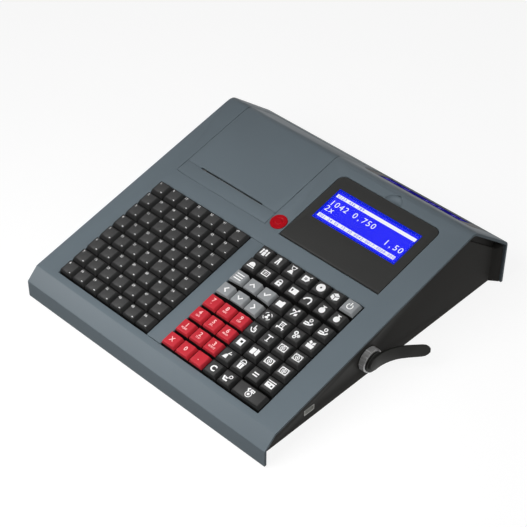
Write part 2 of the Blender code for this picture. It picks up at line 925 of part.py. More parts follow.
# Keys: each is (column, row, how many pitches wide). A group's caps share a web at the skirt's foot
def key_solid(side, keys):
    cap_depth = key_pitch - key_gap
    caps = []
    for column, row, span in keys:
        x = (cell_x(side, column) + cell_x(side, column + span - 1)) / 2
        caps.append((x, cell_along(row), span * key_pitch - key_gap))
    stems = [
        (cell_x(side, column + extra), cell_along(row))
        for column, row, span in keys
        for extra in range(span)
    ]

    def in_cap(x, y):
        return any(abs(x - cx) < w / 2 and abs(y - cy) < cap_depth / 2 for cx, cy, w in caps)

    def in_web(x, y):
        step = key_gap
        return (
            in_cap(x, y)
            or (in_cap(x - step, y) and in_cap(x + step, y))
            or (in_cap(x, y - step) and in_cap(x, y + step))
            or (in_cap(x - step, y - step) and in_cap(x + step, y + step))
        )

    bm = bmesh.new()
    bmesh.ops.create_grid(bm, x_segments=1, y_segments=1, size=cover_width)
    bmesh.ops.translate(bm, verts=bm.verts[:], vec=(0, 0, -cap_skirt))
    lines_x = {round(cx + s * w / 2, 7) for cx, cy, w in caps for s in (-1, 1)}
    lines_x |= {round(sx + s * stem_width / 2, 7) for sx, sy in stems for s in (-1, 1)}
    lines_y = {round(cy + s * cap_depth / 2, 7) for cx, cy, w in caps for s in (-1, 1)}
    lines_y |= {round(sy + s * stem_width / 2, 7) for sx, sy in stems for s in (-1, 1)}
    for value in sorted(lines_x):
        geometry = bm.verts[:] + bm.edges[:] + bm.faces[:]
        bmesh.ops.bisect_plane(bm, geom=geometry, plane_co=(value, 0, 0), plane_no=(1, 0, 0))
    for value in sorted(lines_y):
        geometry = bm.verts[:] + bm.edges[:] + bm.faces[:]
        bmesh.ops.bisect_plane(bm, geom=geometry, plane_co=(0, value, 0), plane_no=(0, 1, 0))
    outside = []
    for face in bm.faces:
        centre = face.calc_center_median()
        if not in_web(centre.x, centre.y):
            outside.append(face)
    bmesh.ops.delete(bm, geom=outside, context="FACES")
    raise_faces(bm, bm.faces[:], key_web)
    bmesh.ops.recalc_face_normals(bm, faces=bm.faces[:])
    for cx, cy, width in caps:
        top = faces_in(bm, cx, cy, width / 2, cap_depth / 2, 1)
        top, _ = raise_faces(bm, top, cap_skirt - key_web + cap_edge_height)
        top, moved = raise_faces(bm, top, cap_bevel_rise)
        for vert in moved:
            vert.co.x = cx + (vert.co.x - cx) * (width - 2 * cap_bevel_run) / width
            vert.co.y = cy + (vert.co.y - cy) * (cap_depth - 2 * cap_bevel_run) / cap_depth
    for sx, sy in stems:
        foot = faces_in(bm, sx, sy, stem_width / 2, stem_width / 2, -1)
        raise_faces(bm, foot, -stem_length)
    bmesh.ops.dissolve_limit(
        bm, angle_limit=flat_angle, verts=bm.verts[:], edges=bm.edges[:], use_dissolve_boundaries=False
    )
    bmesh.ops.recalc_face_normals(bm, faces=bm.faces[:])
    middle = sum((Vector((cx, cy, 0)) for cx, cy, w in caps), Vector()) / len(caps)
    return bm, middle


def faces_in(bm, x, y, half_width, half_depth, facing):
    found = []
    for face in bm.faces:
        centre = face.calc_center_median()
        if face.normal.z * facing < facing_share:
            continue
        if abs(centre.x - x) < half_width and abs(centre.y - y) < half_depth:
            found.append(face)
    return found


# The edges go along with the faces, so that no face is left inside
def raise_faces(bm, faces, height):
    edges = {edge for face in faces for edge in face.edges}
    grown = bmesh.ops.extrude_face_region(bm, geom=faces + list(edges))["geom"]
    moved = [item for item in grown if isinstance(item, bmesh.types.BMVert)]
    bmesh.ops.translate(bm, verts=moved, vec=(0, 0, height))
    new_faces = [item for item in grown if isinstance(item, bmesh.types.BMFace)]
    for face in new_faces:
        face.normal_update()
    return new_faces, moved


def make_key(name, side, keys, finish):
    bm, middle = key_solid(side, keys)
    return put(name, bm, slope, finish, middle)


for column in range(key_columns):
    make_key(
        f"left_key_column_{column + 1}",
        "left",
        [(column, row, 1) for row in range(key_rows)],
        key_black,
    )
digit_rows = (
    (4, ("digit_key_7", "digit_key_8", "digit_key_9")),
    (5, ("digit_key_4", "digit_key_5", "digit_key_6")),
    (6, ("digit_key_1", "digit_key_2", "digit_key_3")),
    (7, ("multiply_key", "digit_key_0", "point_key")),
)
for row, names in digit_rows:
    for column, name in enumerate(names):
        make_key(name, "right", [(column, row, 1)], key_red)
make_key("menu_keys", "right", [(column, 2, 1) for column in range(3)], key_grey)
make_key("arrow_keys", "right", [(column, 3, 1) for column in range(3)], key_grey)
make_key("power_key", "right", [(6, 0, 1)], key_grey)
make_key("total_key", "right", [(5, 7, 2)], key_black)
back_keys = [(column, 0, 1) for column in range(6)] + [(column, 1, 1) for column in range(7)]
make_key("back_function_keys", "right", back_keys, key_black)
for column in (3, 4):
    make_key(
        f"function_key_column_{column + 1}",
        "right",
        [(column, row, 1) for row in range(2, 8)],
        key_black,
    )
for column in (5, 6):
    make_key(
        f"function_key_column_{column + 1}",
        "right",
        [(column, row, 1) for row in range(2, 7)],
        key_black,
    )

# Round button: a flat head in the cover's hole, on a stem
button_low = button_height - button_head
round_button = turned(
    [
        (0, button_height),
        (button_radius - button_edge, button_height),
        (button_radius, button_height - button_edge),
        (button_radius, button_low),
        (button_stem_radius, button_low),
        (button_stem_radius, button_low - button_stem),
        (0, button_low - button_stem),
    ],
    (button_x, button_along, 0),
    button_sides,
    "Z",
)
put("round_button", round_button, slope, button_red, (button_x, button_along, 0))

# Operator display, hinged at its front edge
display_pivot = (display_middle, display_axis_along, -display_axis_drop)
housing = block(
    (display_left, display_front, -display_thickness), (display_right, display_back, 0)
)
round_edges(
    housing,
    lambda a, b: min(a.y, b.y) > display_back - weld_distance and abs(a.z - b.z) > overrun,
    display_corner,
    arc_steps,
)
round_edges(
    housing,
    lambda a, b: max(a.y, b.y) < display_front + weld_distance
    and min(a.z, b.z) > -weld_distance,
    display_front_edge,
    arc_steps // 2,
)
display_housing = put("display_housing", housing, slope, base_black, display_pivot)
lcd_left = display_left + lcd_left_inset
lcd_front = display_front + lcd_front_inset
lcd_back = display_back - lcd_back_inset
lcd_right = display_right - lcd_right_inset
lcd_top = -pane_sink - pane_thickness - seat_gap
lcd_low = lcd_top - lcd_thickness
lcd_pocket = block(
    (lcd_left - lcd_border - seat_gap, lcd_front - lcd_border - seat_gap, lcd_low - seat_gap),
    (lcd_right + lcd_border + seat_gap, lcd_back + lcd_border + seat_gap, overrun),
)
cut(display_housing, tool("lcd_pocket", lcd_pocket, slope))
pane_reach = lcd_border + pane_border
pane_recess = block(
    (lcd_left - pane_reach - seat_gap, lcd_front - pane_reach - seat_gap, lcd_top),
    (lcd_right + pane_reach + seat_gap, lcd_back + pane_reach + seat_gap, overrun),
)
cut(display_housing, tool("pane_recess", pane_recess, slope))
housing_pin_bore = rod(
    (display_left - overrun, display_axis_along, -display_axis_drop),
    display_right - display_left + 2 * overrun,
    display_pin_radius + seat_gap,
    pin_sides,
)
cut(display_housing, tool("housing_pin_bore", housing_pin_bore, slope))
notches = merged(
    [
        block(
            (x - pillar_notch, display_front - overrun, -display_thickness - overrun),
            (
                x + pillar_thickness + pillar_notch,
                display_front + pillar_notch_depth,
                -display_axis_drop + pillar_head + seat_gap,
            ),
        )
        for x in pillar_places
    ]
)
cut(display_housing, tool("pillar_notches", notches, slope))
put(
    "display_hinge_pin",
    rod(
        (display_left + run_gap, display_axis_along, -display_axis_drop),
        display_right - display_left - 2 * run_gap,
        display_pin_radius,
        pin_sides,
    ),
    slope,
    steel,
    display_pivot,
)
lcd = block(
    (lcd_left - lcd_border, lcd_front - lcd_border, lcd_low),
    (lcd_right + lcd_border, lcd_back + lcd_border, lcd_top - lcd_glass),
)
lcd_face = [face for face in lcd.faces if face.normal.z > 0.9]
bmesh.ops.inset_region(lcd, faces=lcd_face, thickness=lcd_border, use_even_offset=True)
raise_faces(lcd, lcd_face, lcd_glass)
put("lcd_module", lcd, slope, lcd_blue, display_pivot)
pane = block(
    (lcd_left - pane_reach, lcd_front - pane_reach, -pane_sink - pane_thickness),
    (lcd_right + pane_reach, lcd_back + pane_reach, -pane_sink),
)
put("display_window", pane, slope, clear, display_pivot)

# Customer display in the rear slope: a window frame, and a module whose face fills it
customer_top = -customer_sink
window = block(
    (customer_left, customer_drop, customer_top - customer_plate),
    (customer_right, customer_drop + customer_height, customer_top),
)
round_edges(
    window,
    lambda a, b: max(a.y, b.y) < customer_drop + weld_distance
    and abs(a.z - b.z) > customer_plate / 2,
    customer_corner,
    arc_steps,
)
customer_window = put("customer_window", window, rear_slope, base_black)
view_left = customer_left + customer_view_side
view_right = customer_right - customer_view_side
view_near = customer_drop + customer_view_border
view_far = customer_drop + customer_height - customer_view_border
view_hole = block(
    (view_left - seat_gap, view_near - seat_gap, customer_top - customer_plate - overrun),
    (view_right + seat_gap, view_far + seat_gap, overrun),
)
cut(customer_window, tool("customer_view", view_hole, rear_slope))
module_top = customer_top - customer_plate - seat_gap
module = block(
    (
        view_left - customer_module_border,
        view_near - customer_module_border,
        module_top - customer_module,
    ),
    (view_right + customer_module_border, view_far + customer_module_border, module_top),
)
module_face = [face for face in module.faces if face.normal.z > 0.9]
bmesh.ops.inset_region(
    module, faces=module_face, thickness=customer_module_border, use_even_offset=True
)
raise_faces(module, module_face, customer_plate)
put("customer_display", module, rear_slope, lcd_blue)

# Printer lid: flush with the cover from the slot over the crown to its hinge barrel
lid_corners = [slope_point(lid_front, 0), cover_corners[3], rear_point(lid_hinge_drop, 0)]
lid_outline = rounded(lid_corners, [0, crown_radius, 0])
barrel_end = math.pi + math.asin(1 - lid_wall / lid_barrel_radius)
for step in range(1, 2 * arc_steps + 1):
    turn = math.pi / 2 - (barrel_end + math.pi / 2) * step / (2 * arc_steps)
    lid_outline.append(
        lid_axis
        + (down_rear * math.cos(turn) + off_rear * math.sin(turn)) * lid_barrel_radius
    )
lid_inner = rounded(moved_in(lid_corners, lid_wall), [0, crown_radius - lid_wall, 0])
lid_outline += list(reversed(lid_inner))[1:]
lid_origin = (printer_x, lid_axis.x, lid_axis.y)
printer_lid = put(
    "printer_lid", across(lid_outline, lid_left, lid_right), register, cover_grey, lid_origin
)
platen_along = lid_front + platen_setback
platen_axis = slope_point(platen_along, -platen_depth)
ear_outline = [slope_point(platen_along - platen_ear_radius, -lid_wall + weld_overlap)]
for step in range(2 * arc_steps + 1):
    turn = math.pi + math.pi * step / (2 * arc_steps)
    ear_outline.append(
        platen_axis
        + (along_slope * math.cos(turn) + off_slope * math.sin(turn)) * platen_ear_radius
    )
ear_outline.append(slope_point(platen_along + platen_ear_radius, -lid_wall + weld_overlap))
platen_left = bin_left + platen_side_gap
platen_right = bin_right - platen_side_gap
left_ear = platen_left - platen_end_gap - platen_ear
right_ear = platen_right + platen_end_gap
lid_ears = merged(
    [
        across(ear_outline, left_ear, left_ear + platen_ear),
        across(ear_outline, right_ear, right_ear + platen_ear),
    ]
)
join(printer_lid, tool("platen_ears", lid_ears, register))
shaft_bore = rod(
    (left_ear - overrun, platen_axis.x, platen_axis.y),
    right_ear + platen_ear + overrun - left_ear + overrun,
    platen_shaft_radius + seat_gap,
    pin_sides,
)
cut(printer_lid, tool("platen_shaft_bore", shaft_bore, register))
lid_barrel_bore = rod(
    (lid_left - overrun, lid_axis.x, lid_axis.y),
    lid_width + 2 * overrun,
    lid_pin_radius + seat_gap,
    pin_sides,
)
cut(printer_lid, tool("lid_barrel_bore", lid_barrel_bore, register))
slot_left = bin_left - slot_side
slot_right = bin_right + slot_side
lid_notch = block(
    (slot_left, lid_front - overrun, -lid_wall - overrun),
    (slot_right, lid_front + slot_lid_notch, overrun),
)
cut(printer_lid, tool("lid_slot_notch", lid_notch, slope))
put(
    "lid_hinge_pin",
    rod(
        (left_lug_x, lid_axis.x, lid_axis.y),
        right_lug_x + lid_lug - left_lug_x,
        lid_pin_radius,
        pin_sides,
    ),
    register,
    steel,
    lid_origin,
)

# Front strip of the printer, and the toothed tear bar in its notch
strip_back = lid_front - seat_gap
strip = block((lid_left, strip_front, -cover_wall), (lid_right, strip_back, 0))
lid_front_strip = put("lid_front_strip", strip, slope, cover_grey)
bar_notch_depth = tear_bar_thickness + 2 * seat_gap
strip_notch = block(
    (slot_left - seat_gap, strip_back - bar_notch_depth, -cover_wall - overrun),
    (slot_right + seat_gap, strip_back + overrun, overrun),
)
cut(lid_front_strip, tool("tear_bar_notch", strip_notch, slope))
bar_back = strip_back - seat_gap
teeth_width = (slot_right - slot_left) * tear_teeth_share
tooth_count = round(teeth_width / tear_tooth_pitch)
tooth_step = teeth_width / tooth_count
teeth_left = printer_x - teeth_width / 2
bar_points = [
    Vector((slot_left, bar_back, -tear_bar_height)),
    Vector((slot_left, bar_back, -tear_tooth_height)),
]
for tooth in range(tooth_count):
    bar_points.append(Vector((teeth_left + tooth * tooth_step, bar_back, -tear_tooth_height)))
    bar_points.append(Vector((teeth_left + (tooth + 0.5) * tooth_step, bar_back, 0)))
bar_points.append(Vector((teeth_left + teeth_width, bar_back, -tear_tooth_height)))
bar_points.append(Vector((slot_right, bar_back, -tear_tooth_height)))
bar_points.append(Vector((slot_right, bar_back, -tear_bar_height)))
put("tear_bar", solid_from(bar_points, Vector((0, -tear_bar_thickness, 0))), slope, steel)

# Platen roller with its shaft, carried by the lid's ears
gear_right = bin_left - bin_cheek - seat_gap
gear_left = gear_right - gear_width
platen_profile = [
    (0, gear_left),
    (platen_shaft_radius, gear_left),
    (platen_shaft_radius, platen_left),
    (platen_radius, platen_left),
    (platen_radius, platen_right),
    (platen_shaft_radius, platen_right),
    (platen_shaft_radius, right_ear + platen_ear),
    (0, right_ear + platen_ear),
]
platen_origin = (printer_x, platen_axis.x, platen_axis.y)
put(
    "platen_roller",
    turned(platen_profile, (0, platen_axis.x, platen_axis.y), round_sides // 2),
    register,
    rubber,
    platen_origin,
)


# A gear's outline about an axis, with a gap or a tooth facing one way
def gear_outline(centre, teeth, facing, tooth_there):
    pitch_radius = gear_module * teeth / 2
    tip = pitch_radius + gear_module * tooth_tip_modules_share
    root = pitch_radius - gear_module * tooth_root_modules_share
    step = 2 * math.pi / teeth
    start = facing if tooth_there else facing + step / 2
    outline = []
    for tooth in range(teeth):
        middle = start + tooth * step
        for radius, share in (
            (root, -tooth_root_share),
            (tip, -tooth_tip_share),
            (tip, tooth_tip_share),
            (root, tooth_root_share),
        ):
            turn = middle + share * step
            outline.append(centre + Vector((math.cos(turn), math.sin(turn))) * radius)
    return outline


gear_distance = gear_module * (platen_teeth + pinion_teeth) / 2 + gear_backlash
pinion_axis = platen_axis - off_slope * gear_distance
down_turn = math.atan2(-off_slope.y, -off_slope.x)
gear_origin = (gear_left + gear_width / 2, platen_axis.x, platen_axis.y)
platen_gear = put(
    "platen_gear",
    across(gear_outline(platen_axis, platen_teeth, down_turn, False), gear_left, gear_right),
    register,
    white_plastic,
    gear_origin,
)
gear_bore = rod(
    (gear_left - overrun, platen_axis.x, platen_axis.y),
    gear_width + 2 * overrun,
    platen_shaft_radius + seat_gap,
    pin_sides,
)
cut(platen_gear, tool("platen_gear_bore", gear_bore, register))
pinion_origin = (gear_left + gear_width / 2, pinion_axis.x, pinion_axis.y)
motor_pinion = put(
    "motor_pinion",
    across(gear_outline(pinion_axis, pinion_teeth, down_turn + math.pi, True), gear_left, gear_right),
    register,
    steel,
    pinion_origin,
)
motor_left = bin_left + seat_gap
pinion_shaft = rod(
    (gear_left + gear_width / 2, pinion_axis.x, pinion_axis.y),
    motor_left + motor_bore_depth - 2 * seat_gap - gear_left - gear_width / 2,
    pinion_shaft_radius,
    pin_sides,
)
join(motor_pinion, tool("pinion_shaft", pinion_shaft, register))
motor_profile = [
    (pinion_shaft_radius + seat_gap, motor_left),
    (motor_radius, motor_left),
    (motor_radius, motor_left + motor_length),
    (0, motor_left + motor_length),
    (0, motor_left + motor_bore_depth),
    (pinion_shaft_radius + seat_gap, motor_left + motor_bore_depth),
]
put(
    "printer_motor",
    turned(
        motor_profile, (0, pinion_axis.x, pinion_axis.y), round_sides // 2, "X", closed=True
    ),
    register,
    steel,
)

# Print head, in front of the platen
head_back = platen_along - platen_radius - seat_gap
print_head = block(
    (bin_left + seat_gap, head_back - head_thickness, -platen_depth - head_below),
    (bin_right - seat_gap, head_back, -platen_depth + head_above),
)
put("print_head", print_head, slope, board_green)

# Paper bin: a trough between two cheeks, on a foot
bin_floor = tub_floor + seat_gap + bin_foot
bin_along_y = platen_axis.x + bin_setback
bin_centre = Vector((bin_along_y, bin_floor + bin_radius))
trough = []
for step in range(4 * arc_steps + 1):
    turn = math.pi + math.pi * step / (4 * arc_steps)
    trough.append(bin_centre + Vector((math.cos(turn), math.sin(turn))) * bin_radius)
for step in range(4 * arc_steps + 1):
    turn = 2 * math.pi - math.pi * step / (4 * arc_steps)
    trough.append(bin_centre + Vector((math.cos(turn), math.sin(turn))) * (bin_radius + bin_wall))
paper_bin = put(
    "paper_bin",
    across(trough, bin_left - bin_cheek / 2, bin_right + bin_cheek / 2),
    register,
    white_plastic,
)
cheek_foot = tub_floor + seat_gap
cheek_rear_reach = bin_radius + bin_wall + cheek_rear_wall
cheek_front_along = lid_front - cheek_front_lead
cheek_outline = [
    Vector((bin_along_y - cheek_front_foot, cheek_foot)),
    Vector((bin_along_y + cheek_rear_foot, cheek_foot)),
    Vector((bin_along_y + cheek_rear_reach, bin_centre.y)),
    Vector((bin_along_y + cheek_rear_reach, crown_z - cheek_rear_drop)),
    slope_point(lid_front + cheek_top_setback, -cheek_top_depth),
    slope_point(cheek_front_along, -cheek_top_depth),
    slope_point(cheek_front_along, -cheek_front_depth),
]
cheeks = merged(
    [
        across(cheek_outline, bin_left - bin_cheek, bin_left),
        across(cheek_outline, bin_right, bin_right + bin_cheek),
    ]
)
join(paper_bin, tool("bin_cheeks", cheeks, register))
foot_block = block(
    (
        bin_left - bin_cheek / 2,
        bin_along_y - bin_foot_half_depth,
        cheek_foot,
    ),
    (
        bin_right + bin_cheek / 2,
        bin_along_y + bin_foot_half_depth,
        cheek_foot + bin_foot,
    ),
)
join(paper_bin, tool("bin_foot", foot_block, register))
shaft_hole = rod(
    (bin_left - bin_cheek - overrun / 2, pinion_axis.x, pinion_axis.y),
    bin_cheek + overrun,
    pinion_shaft_radius + run_gap,
    pin_sides,
)
cut(paper_bin, tool("bin_shaft_hole", shaft_hole, register))
trough_room = rod(
    (bin_left, bin_centre.x, bin_centre.y), bin_right - bin_left, bin_radius, 8 * arc_steps
)
cut(paper_bin, tool("trough_room", trough_room, register))

# Paper roll, lying in the trough
roll_axis = Vector((bin_along_y, bin_floor + roll_radius + run_gap))
roll_left = printer_x - roll_width / 2
roll_right = printer_x + roll_width / 2
roll_profile = [
    (roll_core_radius, roll_left),
    (roll_radius, roll_left),
    (roll_radius, roll_right),
    (roll_core_radius, roll_right),
]
put(
    "paper_roll",
    turned(roll_profile, (0, roll_axis.x, roll_axis.y), 8 * arc_steps, "X", closed=True),
    register,
    paper,
    (printer_x, roll_axis.x, roll_axis.y),
)

# Main board on its bosses
main_board = block(
    (board_left, board_front, board_low), (board_right, board_rear, board_top)
)
put("main_board", main_board, register, board_green)

# Data socket in the right wall: a metal shell, open to the outside
usb_face = half_base + usb_stand
usb = block(
    (usb_face - usb_length, usb_y - usb_width / 2, usb_z - usb_height / 2),
    (usb_face, usb_y + usb_width / 2, usb_z + usb_height / 2),
)
usb_socket = put("usb_socket", usb, register, steel)
usb_mouth = block(
    (
        usb_face - usb_pocket,
        usb_y - usb_width / 2 + usb_wall,
        usb_z - usb_height / 2 + usb_wall,
    ),
    (usb_face + overrun, usb_y + usb_width / 2 - usb_wall, usb_z + usb_height / 2 - usb_wall),
)
cut(usb_socket, tool("usb_mouth", usb_mouth, register))

# Power inlet in the rear wall, behind the bay in the cover
inlet = block(
    (inlet_x - inlet_width / 2, tub_rear - inlet_length, inlet_z - inlet_height / 2),
    (inlet_x + inlet_width / 2, tub_rear, inlet_z + inlet_height / 2),
)
power_inlet = put("power_inlet", inlet, register, base_black)
inlet_bore_tool = rod(
    (0, 0, 0), inlet_bore + overrun, inlet_bore_radius, round_sides // 2, "Z"
)
bmesh.ops.transform(
    inlet_bore_tool,
    matrix=Matrix.Translation((inlet_x, tub_rear - inlet_bore, inlet_z))
    @ Matrix.Rotation(-math.pi / 2, 4, "X"),
    verts=inlet_bore_tool.verts[:],
)
cut(power_inlet, tool("inlet_bore", inlet_bore_tool, register))

# Lock ring: a steel collar outside the wall, with a sleeve through it
ring_inner = half_base - base_wall - lock_sleeve
ring_profile = [
    (lock_bore_radius, ring_outer),
    (lock_radius, ring_outer),
    (lock_radius, half_base + seat_gap),
    (lock_sleeve_radius, half_base + seat_gap),
    (lock_sleeve_radius, ring_inner),
    (0, ring_inner),
    (0, ring_inner + lock_floor),
    (lock_bore_radius, ring_inner + lock_floor),
]
put(
    "lock_ring",
    turned(ring_profile, (0, lock_y, lock_z), lock_sides, "X", closed=True),
    register,
    steel,
)

# Operator key: a plug in the ring's bore, a round hub and a handle that bends outwards
key_profile = [
    (0, ring_inner + lock_floor + seat_gap),
    (key_plug_radius, ring_inner + lock_floor + seat_gap),
    (key_plug_radius, hub_low),
    (key_hub_radius, hub_low),
    (key_hub_radius, hub_high),
    (0, hub_high),
]
operator_key = put(
    "operator_key",
    turned(key_profile, (0, lock_y, lock_z), lock_sides),
    register,
    base_black,
    (hub_low, lock_y, lock_z),
)


# The handle is full along its run and rounded at its two ends, and thins towards its tip
handle = bmesh.new()
bmesh.ops.create_grid(handle, x_segments=handle_steps, y_segments=1, size=1)
raise_faces(handle, handle.faces[:], 1)
for vert in handle.verts:
    share = (1 - math.cos(math.pi * (vert.co.x + 1) / 2)) / 2
    length = handle_length * share
    half_height = (handle_hub_height + (handle_tip_height - handle_hub_height) * share) / 2
    thickness = handle_hub_thickness + (handle_tip_thickness - handle_hub_thickness) * share
    end_share = min(length, handle_length - length, half_height) / half_height
    rounding = max(math.sqrt(1 - (1 - end_share) ** 2), handle_least_share)
    inner, run = handle_at(length)
    outwards = Vector((run.y, -run.x)) * thickness * vert.co.z
    height = half_height * rounding * vert.co.y
    vert.co = (inner.x + outwards.x, inner.y + outwards.y, lock_z + height)
bmesh.ops.recalc_face_normals(handle, faces=handle.faces[:])
join(operator_key, tool("key_handle", handle, register))
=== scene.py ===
import json
import math

import bmesh
import bpy
from mathutils import Matrix, Vector

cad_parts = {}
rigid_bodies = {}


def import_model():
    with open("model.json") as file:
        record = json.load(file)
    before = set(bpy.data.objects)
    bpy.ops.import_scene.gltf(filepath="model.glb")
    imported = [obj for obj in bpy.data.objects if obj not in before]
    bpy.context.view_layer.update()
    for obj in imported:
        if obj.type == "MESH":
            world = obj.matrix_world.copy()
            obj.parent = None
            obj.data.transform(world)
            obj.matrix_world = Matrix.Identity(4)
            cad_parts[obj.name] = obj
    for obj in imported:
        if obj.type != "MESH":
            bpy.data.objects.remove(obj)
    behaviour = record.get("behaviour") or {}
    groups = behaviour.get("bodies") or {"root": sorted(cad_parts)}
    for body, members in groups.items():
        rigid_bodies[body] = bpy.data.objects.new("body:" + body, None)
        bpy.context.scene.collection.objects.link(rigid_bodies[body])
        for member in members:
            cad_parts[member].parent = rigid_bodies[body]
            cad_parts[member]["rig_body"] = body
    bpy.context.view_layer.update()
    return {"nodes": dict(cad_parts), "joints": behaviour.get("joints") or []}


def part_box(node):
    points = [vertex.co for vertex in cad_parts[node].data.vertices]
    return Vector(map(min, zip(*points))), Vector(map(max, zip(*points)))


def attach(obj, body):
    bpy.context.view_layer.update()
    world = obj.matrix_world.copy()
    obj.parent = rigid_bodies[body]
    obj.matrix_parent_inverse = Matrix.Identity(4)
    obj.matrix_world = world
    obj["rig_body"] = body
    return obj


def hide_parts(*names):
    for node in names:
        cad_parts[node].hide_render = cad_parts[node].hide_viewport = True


for old in list(bpy.data.objects):
    bpy.data.objects.remove(old, do_unlink=True)

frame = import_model()
nodes = frame["nodes"]
mm = 0.001


# Frames on the two slopes: X to the right, Y up the keyboard slope or down the rear one, Z off it
def slopeFrame(off, node):
    along = off.cross(Vector((1, 0, 0)))
    top = max((v.co for v in nodes[node].data.vertices), key=lambda co: co.dot(off))
    matrix = Matrix((Vector((1, 0, 0)), along, off)).transposed().to_4x4()
    matrix.translation = Vector((0, top.y, top.z))
    return matrix


def pointsIn(matrix, node):  # a node's vertices in the frame that the matrix gives
    back = matrix.inverted()
    return [back @ v.co for v in nodes[node].data.vertices]


def boxIn(matrix, node):  # its lowest and highest corner there
    points = pointsIn(matrix, node)
    low = Vector(min(p[i] for p in points) for i in range(3))
    high = Vector(max(p[i] for p in points) for i in range(3))
    return low, high


pressJoint = next(j for j in frame["joints"] if j["name"] == "button_press")
slope = slopeFrame(-Vector(pressJoint["axis"]), "key_divider")
rearFace = max(
    (f for f in nodes["customer_window"].data.polygons if f.normal.z > 0.5),
    key=lambda f: f.area,
)
rearSlope = slopeFrame(rearFace.normal.copy(), "customer_window")


# Materials
def linear(code):
    channels = [int(code[i:i + 2], 16) / 255 for i in (1, 3, 5)]
    return (*[c / 12.92 if c <= 0.04045 else ((c + 0.055) / 1.055) ** 2.4 for c in channels], 1)


def linkTo(tree, node, links):
    for name, source in links.items():
        tree.links.new(source, node.inputs[name])


def addNode(tree, kind, values=None, links=None, **settings):
    node = tree.nodes.new(kind)
    for name, value in settings.items():
        setattr(node, name, value)
    for name, value in (values or {}).items():
        node.inputs[name].default_value = value
    linkTo(tree, node, links or {})
    return node


def newMaterial(name, **sockets):
    made = bpy.data.materials.new(name)
    made.use_nodes = True
    tree = made.node_tree
    shader = tree.nodes["Principled BSDF"]
    for socket, value in sockets.items():
        shader.inputs[socket].default_value = value
    place = addNode(tree, "ShaderNodeTexCoord").outputs["Object"]
    return made, tree, shader, place


# What a pattern gives the surface: its dark and pale tone, its least and most roughness, its depth
def showPattern(tree, shader, pattern, tones=None, roughness=None, depth=None):
    links = {}
    if tones:
        tone = addNode(
            tree,
            "ShaderNodeMix",
            {6: linear(tones[0]), 7: linear(tones[1])},  # the two colours' sockets
            {0: pattern},
            data_type="RGBA",
        )
        links["Base Color"] = tone.outputs[2]
    if roughness:
        span = addNode(
            tree,
            "ShaderNodeMapRange",
            {"To Min": roughness[0], "To Max": roughness[1]},
            {"Value": pattern},
        )
        links["Roughness"] = span.outputs["Result"]
    if depth:
        relief = addNode(
            tree, "ShaderNodeBump", {"Strength": 1, "Distance": depth}, {"Height": pattern}
        )
        links["Normal"] = relief.outputs["Normal"]
    linkTo(tree, shader, links)


# Moulded plastic: pits of the spark-eroded mould, and tones that drift a little over the piece.
# Real mould pits are about 0.15 mm wide; these are drawn coarser so that they show
plasticDrift = 70 * mm
plasticLooks = {  # pale and dark tone, roughness, width and depth of the pits, shine
    "coverGreyAbs": ("#6e7980", "#68737a", 0.45, 0.8 * mm, 0.02 * mm, 0.08),
    "tubBlackAbs": ("#403f3d", "#3a3937", 0.5, 0.8 * mm, 0.03 * mm, 0.06),
    "keyBlackPbt": ("#383838", "#343434", 0.5, 0.5 * mm, 0.01 * mm, 0.06),
    "labelBlackPetg": ("#484848", "#444444", 0.5, 0.5 * mm, 0.01 * mm, 0.06),
    # This black also stands as painted shade on the caps' stems, skirts and webs in the gaps
    "guideBlackAndGapShade": ("#1c1c1c", "#181818", 0.5, 0.8 * mm, 0.03 * mm, 0.06),
    "keyRedPbt": ("#cb3440", "#c52e39", 0.42, 0.5 * mm, 0.01 * mm, 0.12),
    "keyGreyPbt": ("#999c9e", "#939698", 0.45, 0.5 * mm, 0.01 * mm, 0.12),
    "buttonRedAbs": ("#b50b1b", "#a80917", 0.4, 0.6 * mm, 0.01 * mm, 0.08),
    "bezelBlackAbs": ("#3c3c3b", "#383837", 0.45, 0.5 * mm, 0.01 * mm, 0.05),
    "keyHandleNylon": ("#31312f", "#2c2c2a", 0.4, 0.6 * mm, 0.02 * mm, 0.15),
    "naturalNylon": ("#d6d6d2", "#cdcdc8", 0.5, 0.8 * mm, 0.02 * mm, 0.4),
    "mouldedRubber": ("#232322", "#1d1d1c", 0.85, 0.5 * mm, 0.05 * mm, 0.2),
}


def mouldedPlastic(name, pale, dark, rough, pitWidth, pitDepth, shine):
    made, tree, shader, place = newMaterial(name, **{"Specular IOR Level": shine})
    drift = addNode(
        tree, "ShaderNodeTexNoise", {"Scale": 1 / plasticDrift, "Detail": 2}, {"Vector": place}
    )
    pits = addNode(
        tree, "ShaderNodeTexNoise", {"Scale": 1 / pitWidth, "Detail": 3}, {"Vector": place}
    )
    showPattern(tree, shader, drift.outputs["Fac"], (dark, pale))
    showPattern(
        tree, shader, pits.outputs["Fac"], roughness=(rough - 0.05, rough + 0.05), depth=pitDepth
    )
    return made


finishes = {name: mouldedPlastic(name, *look) for name, look in plasticLooks.items()}

# Drawn, turned or ground steel: fine lines across one axis, so the shine streaks along them; the tear
# bar's ground steel is also darkened with painted shade of its teeth and slot
steelDepth = 0.01 * mm
steelLooks = {  # tones, roughness, how wide the streaks are along X, Y and Z, and how metallic
    "turnedSteel": (("#9c9c99", "#c4c4c0"), 0.32, (0.4 * mm, 20 * mm, 20 * mm), 1),
    "sheetSteel": (("#a2a29f", "#bebebb"), 0.35, (20 * mm, 20 * mm, 0.4 * mm), 1),
    # darker and less metallic than the tear bar's steel: painted shade of its teeth and slot
    "toothShadeSteel": (("#5c6266", "#7a8084"), 0.5, (20 * mm, 20 * mm, 0.4 * mm), 0.3),
    "satinNickel": (("#9a9a9a", "#ffffff"), 0.25, (20 * mm, 2.5 * mm, 2.5 * mm), 0.35),
}


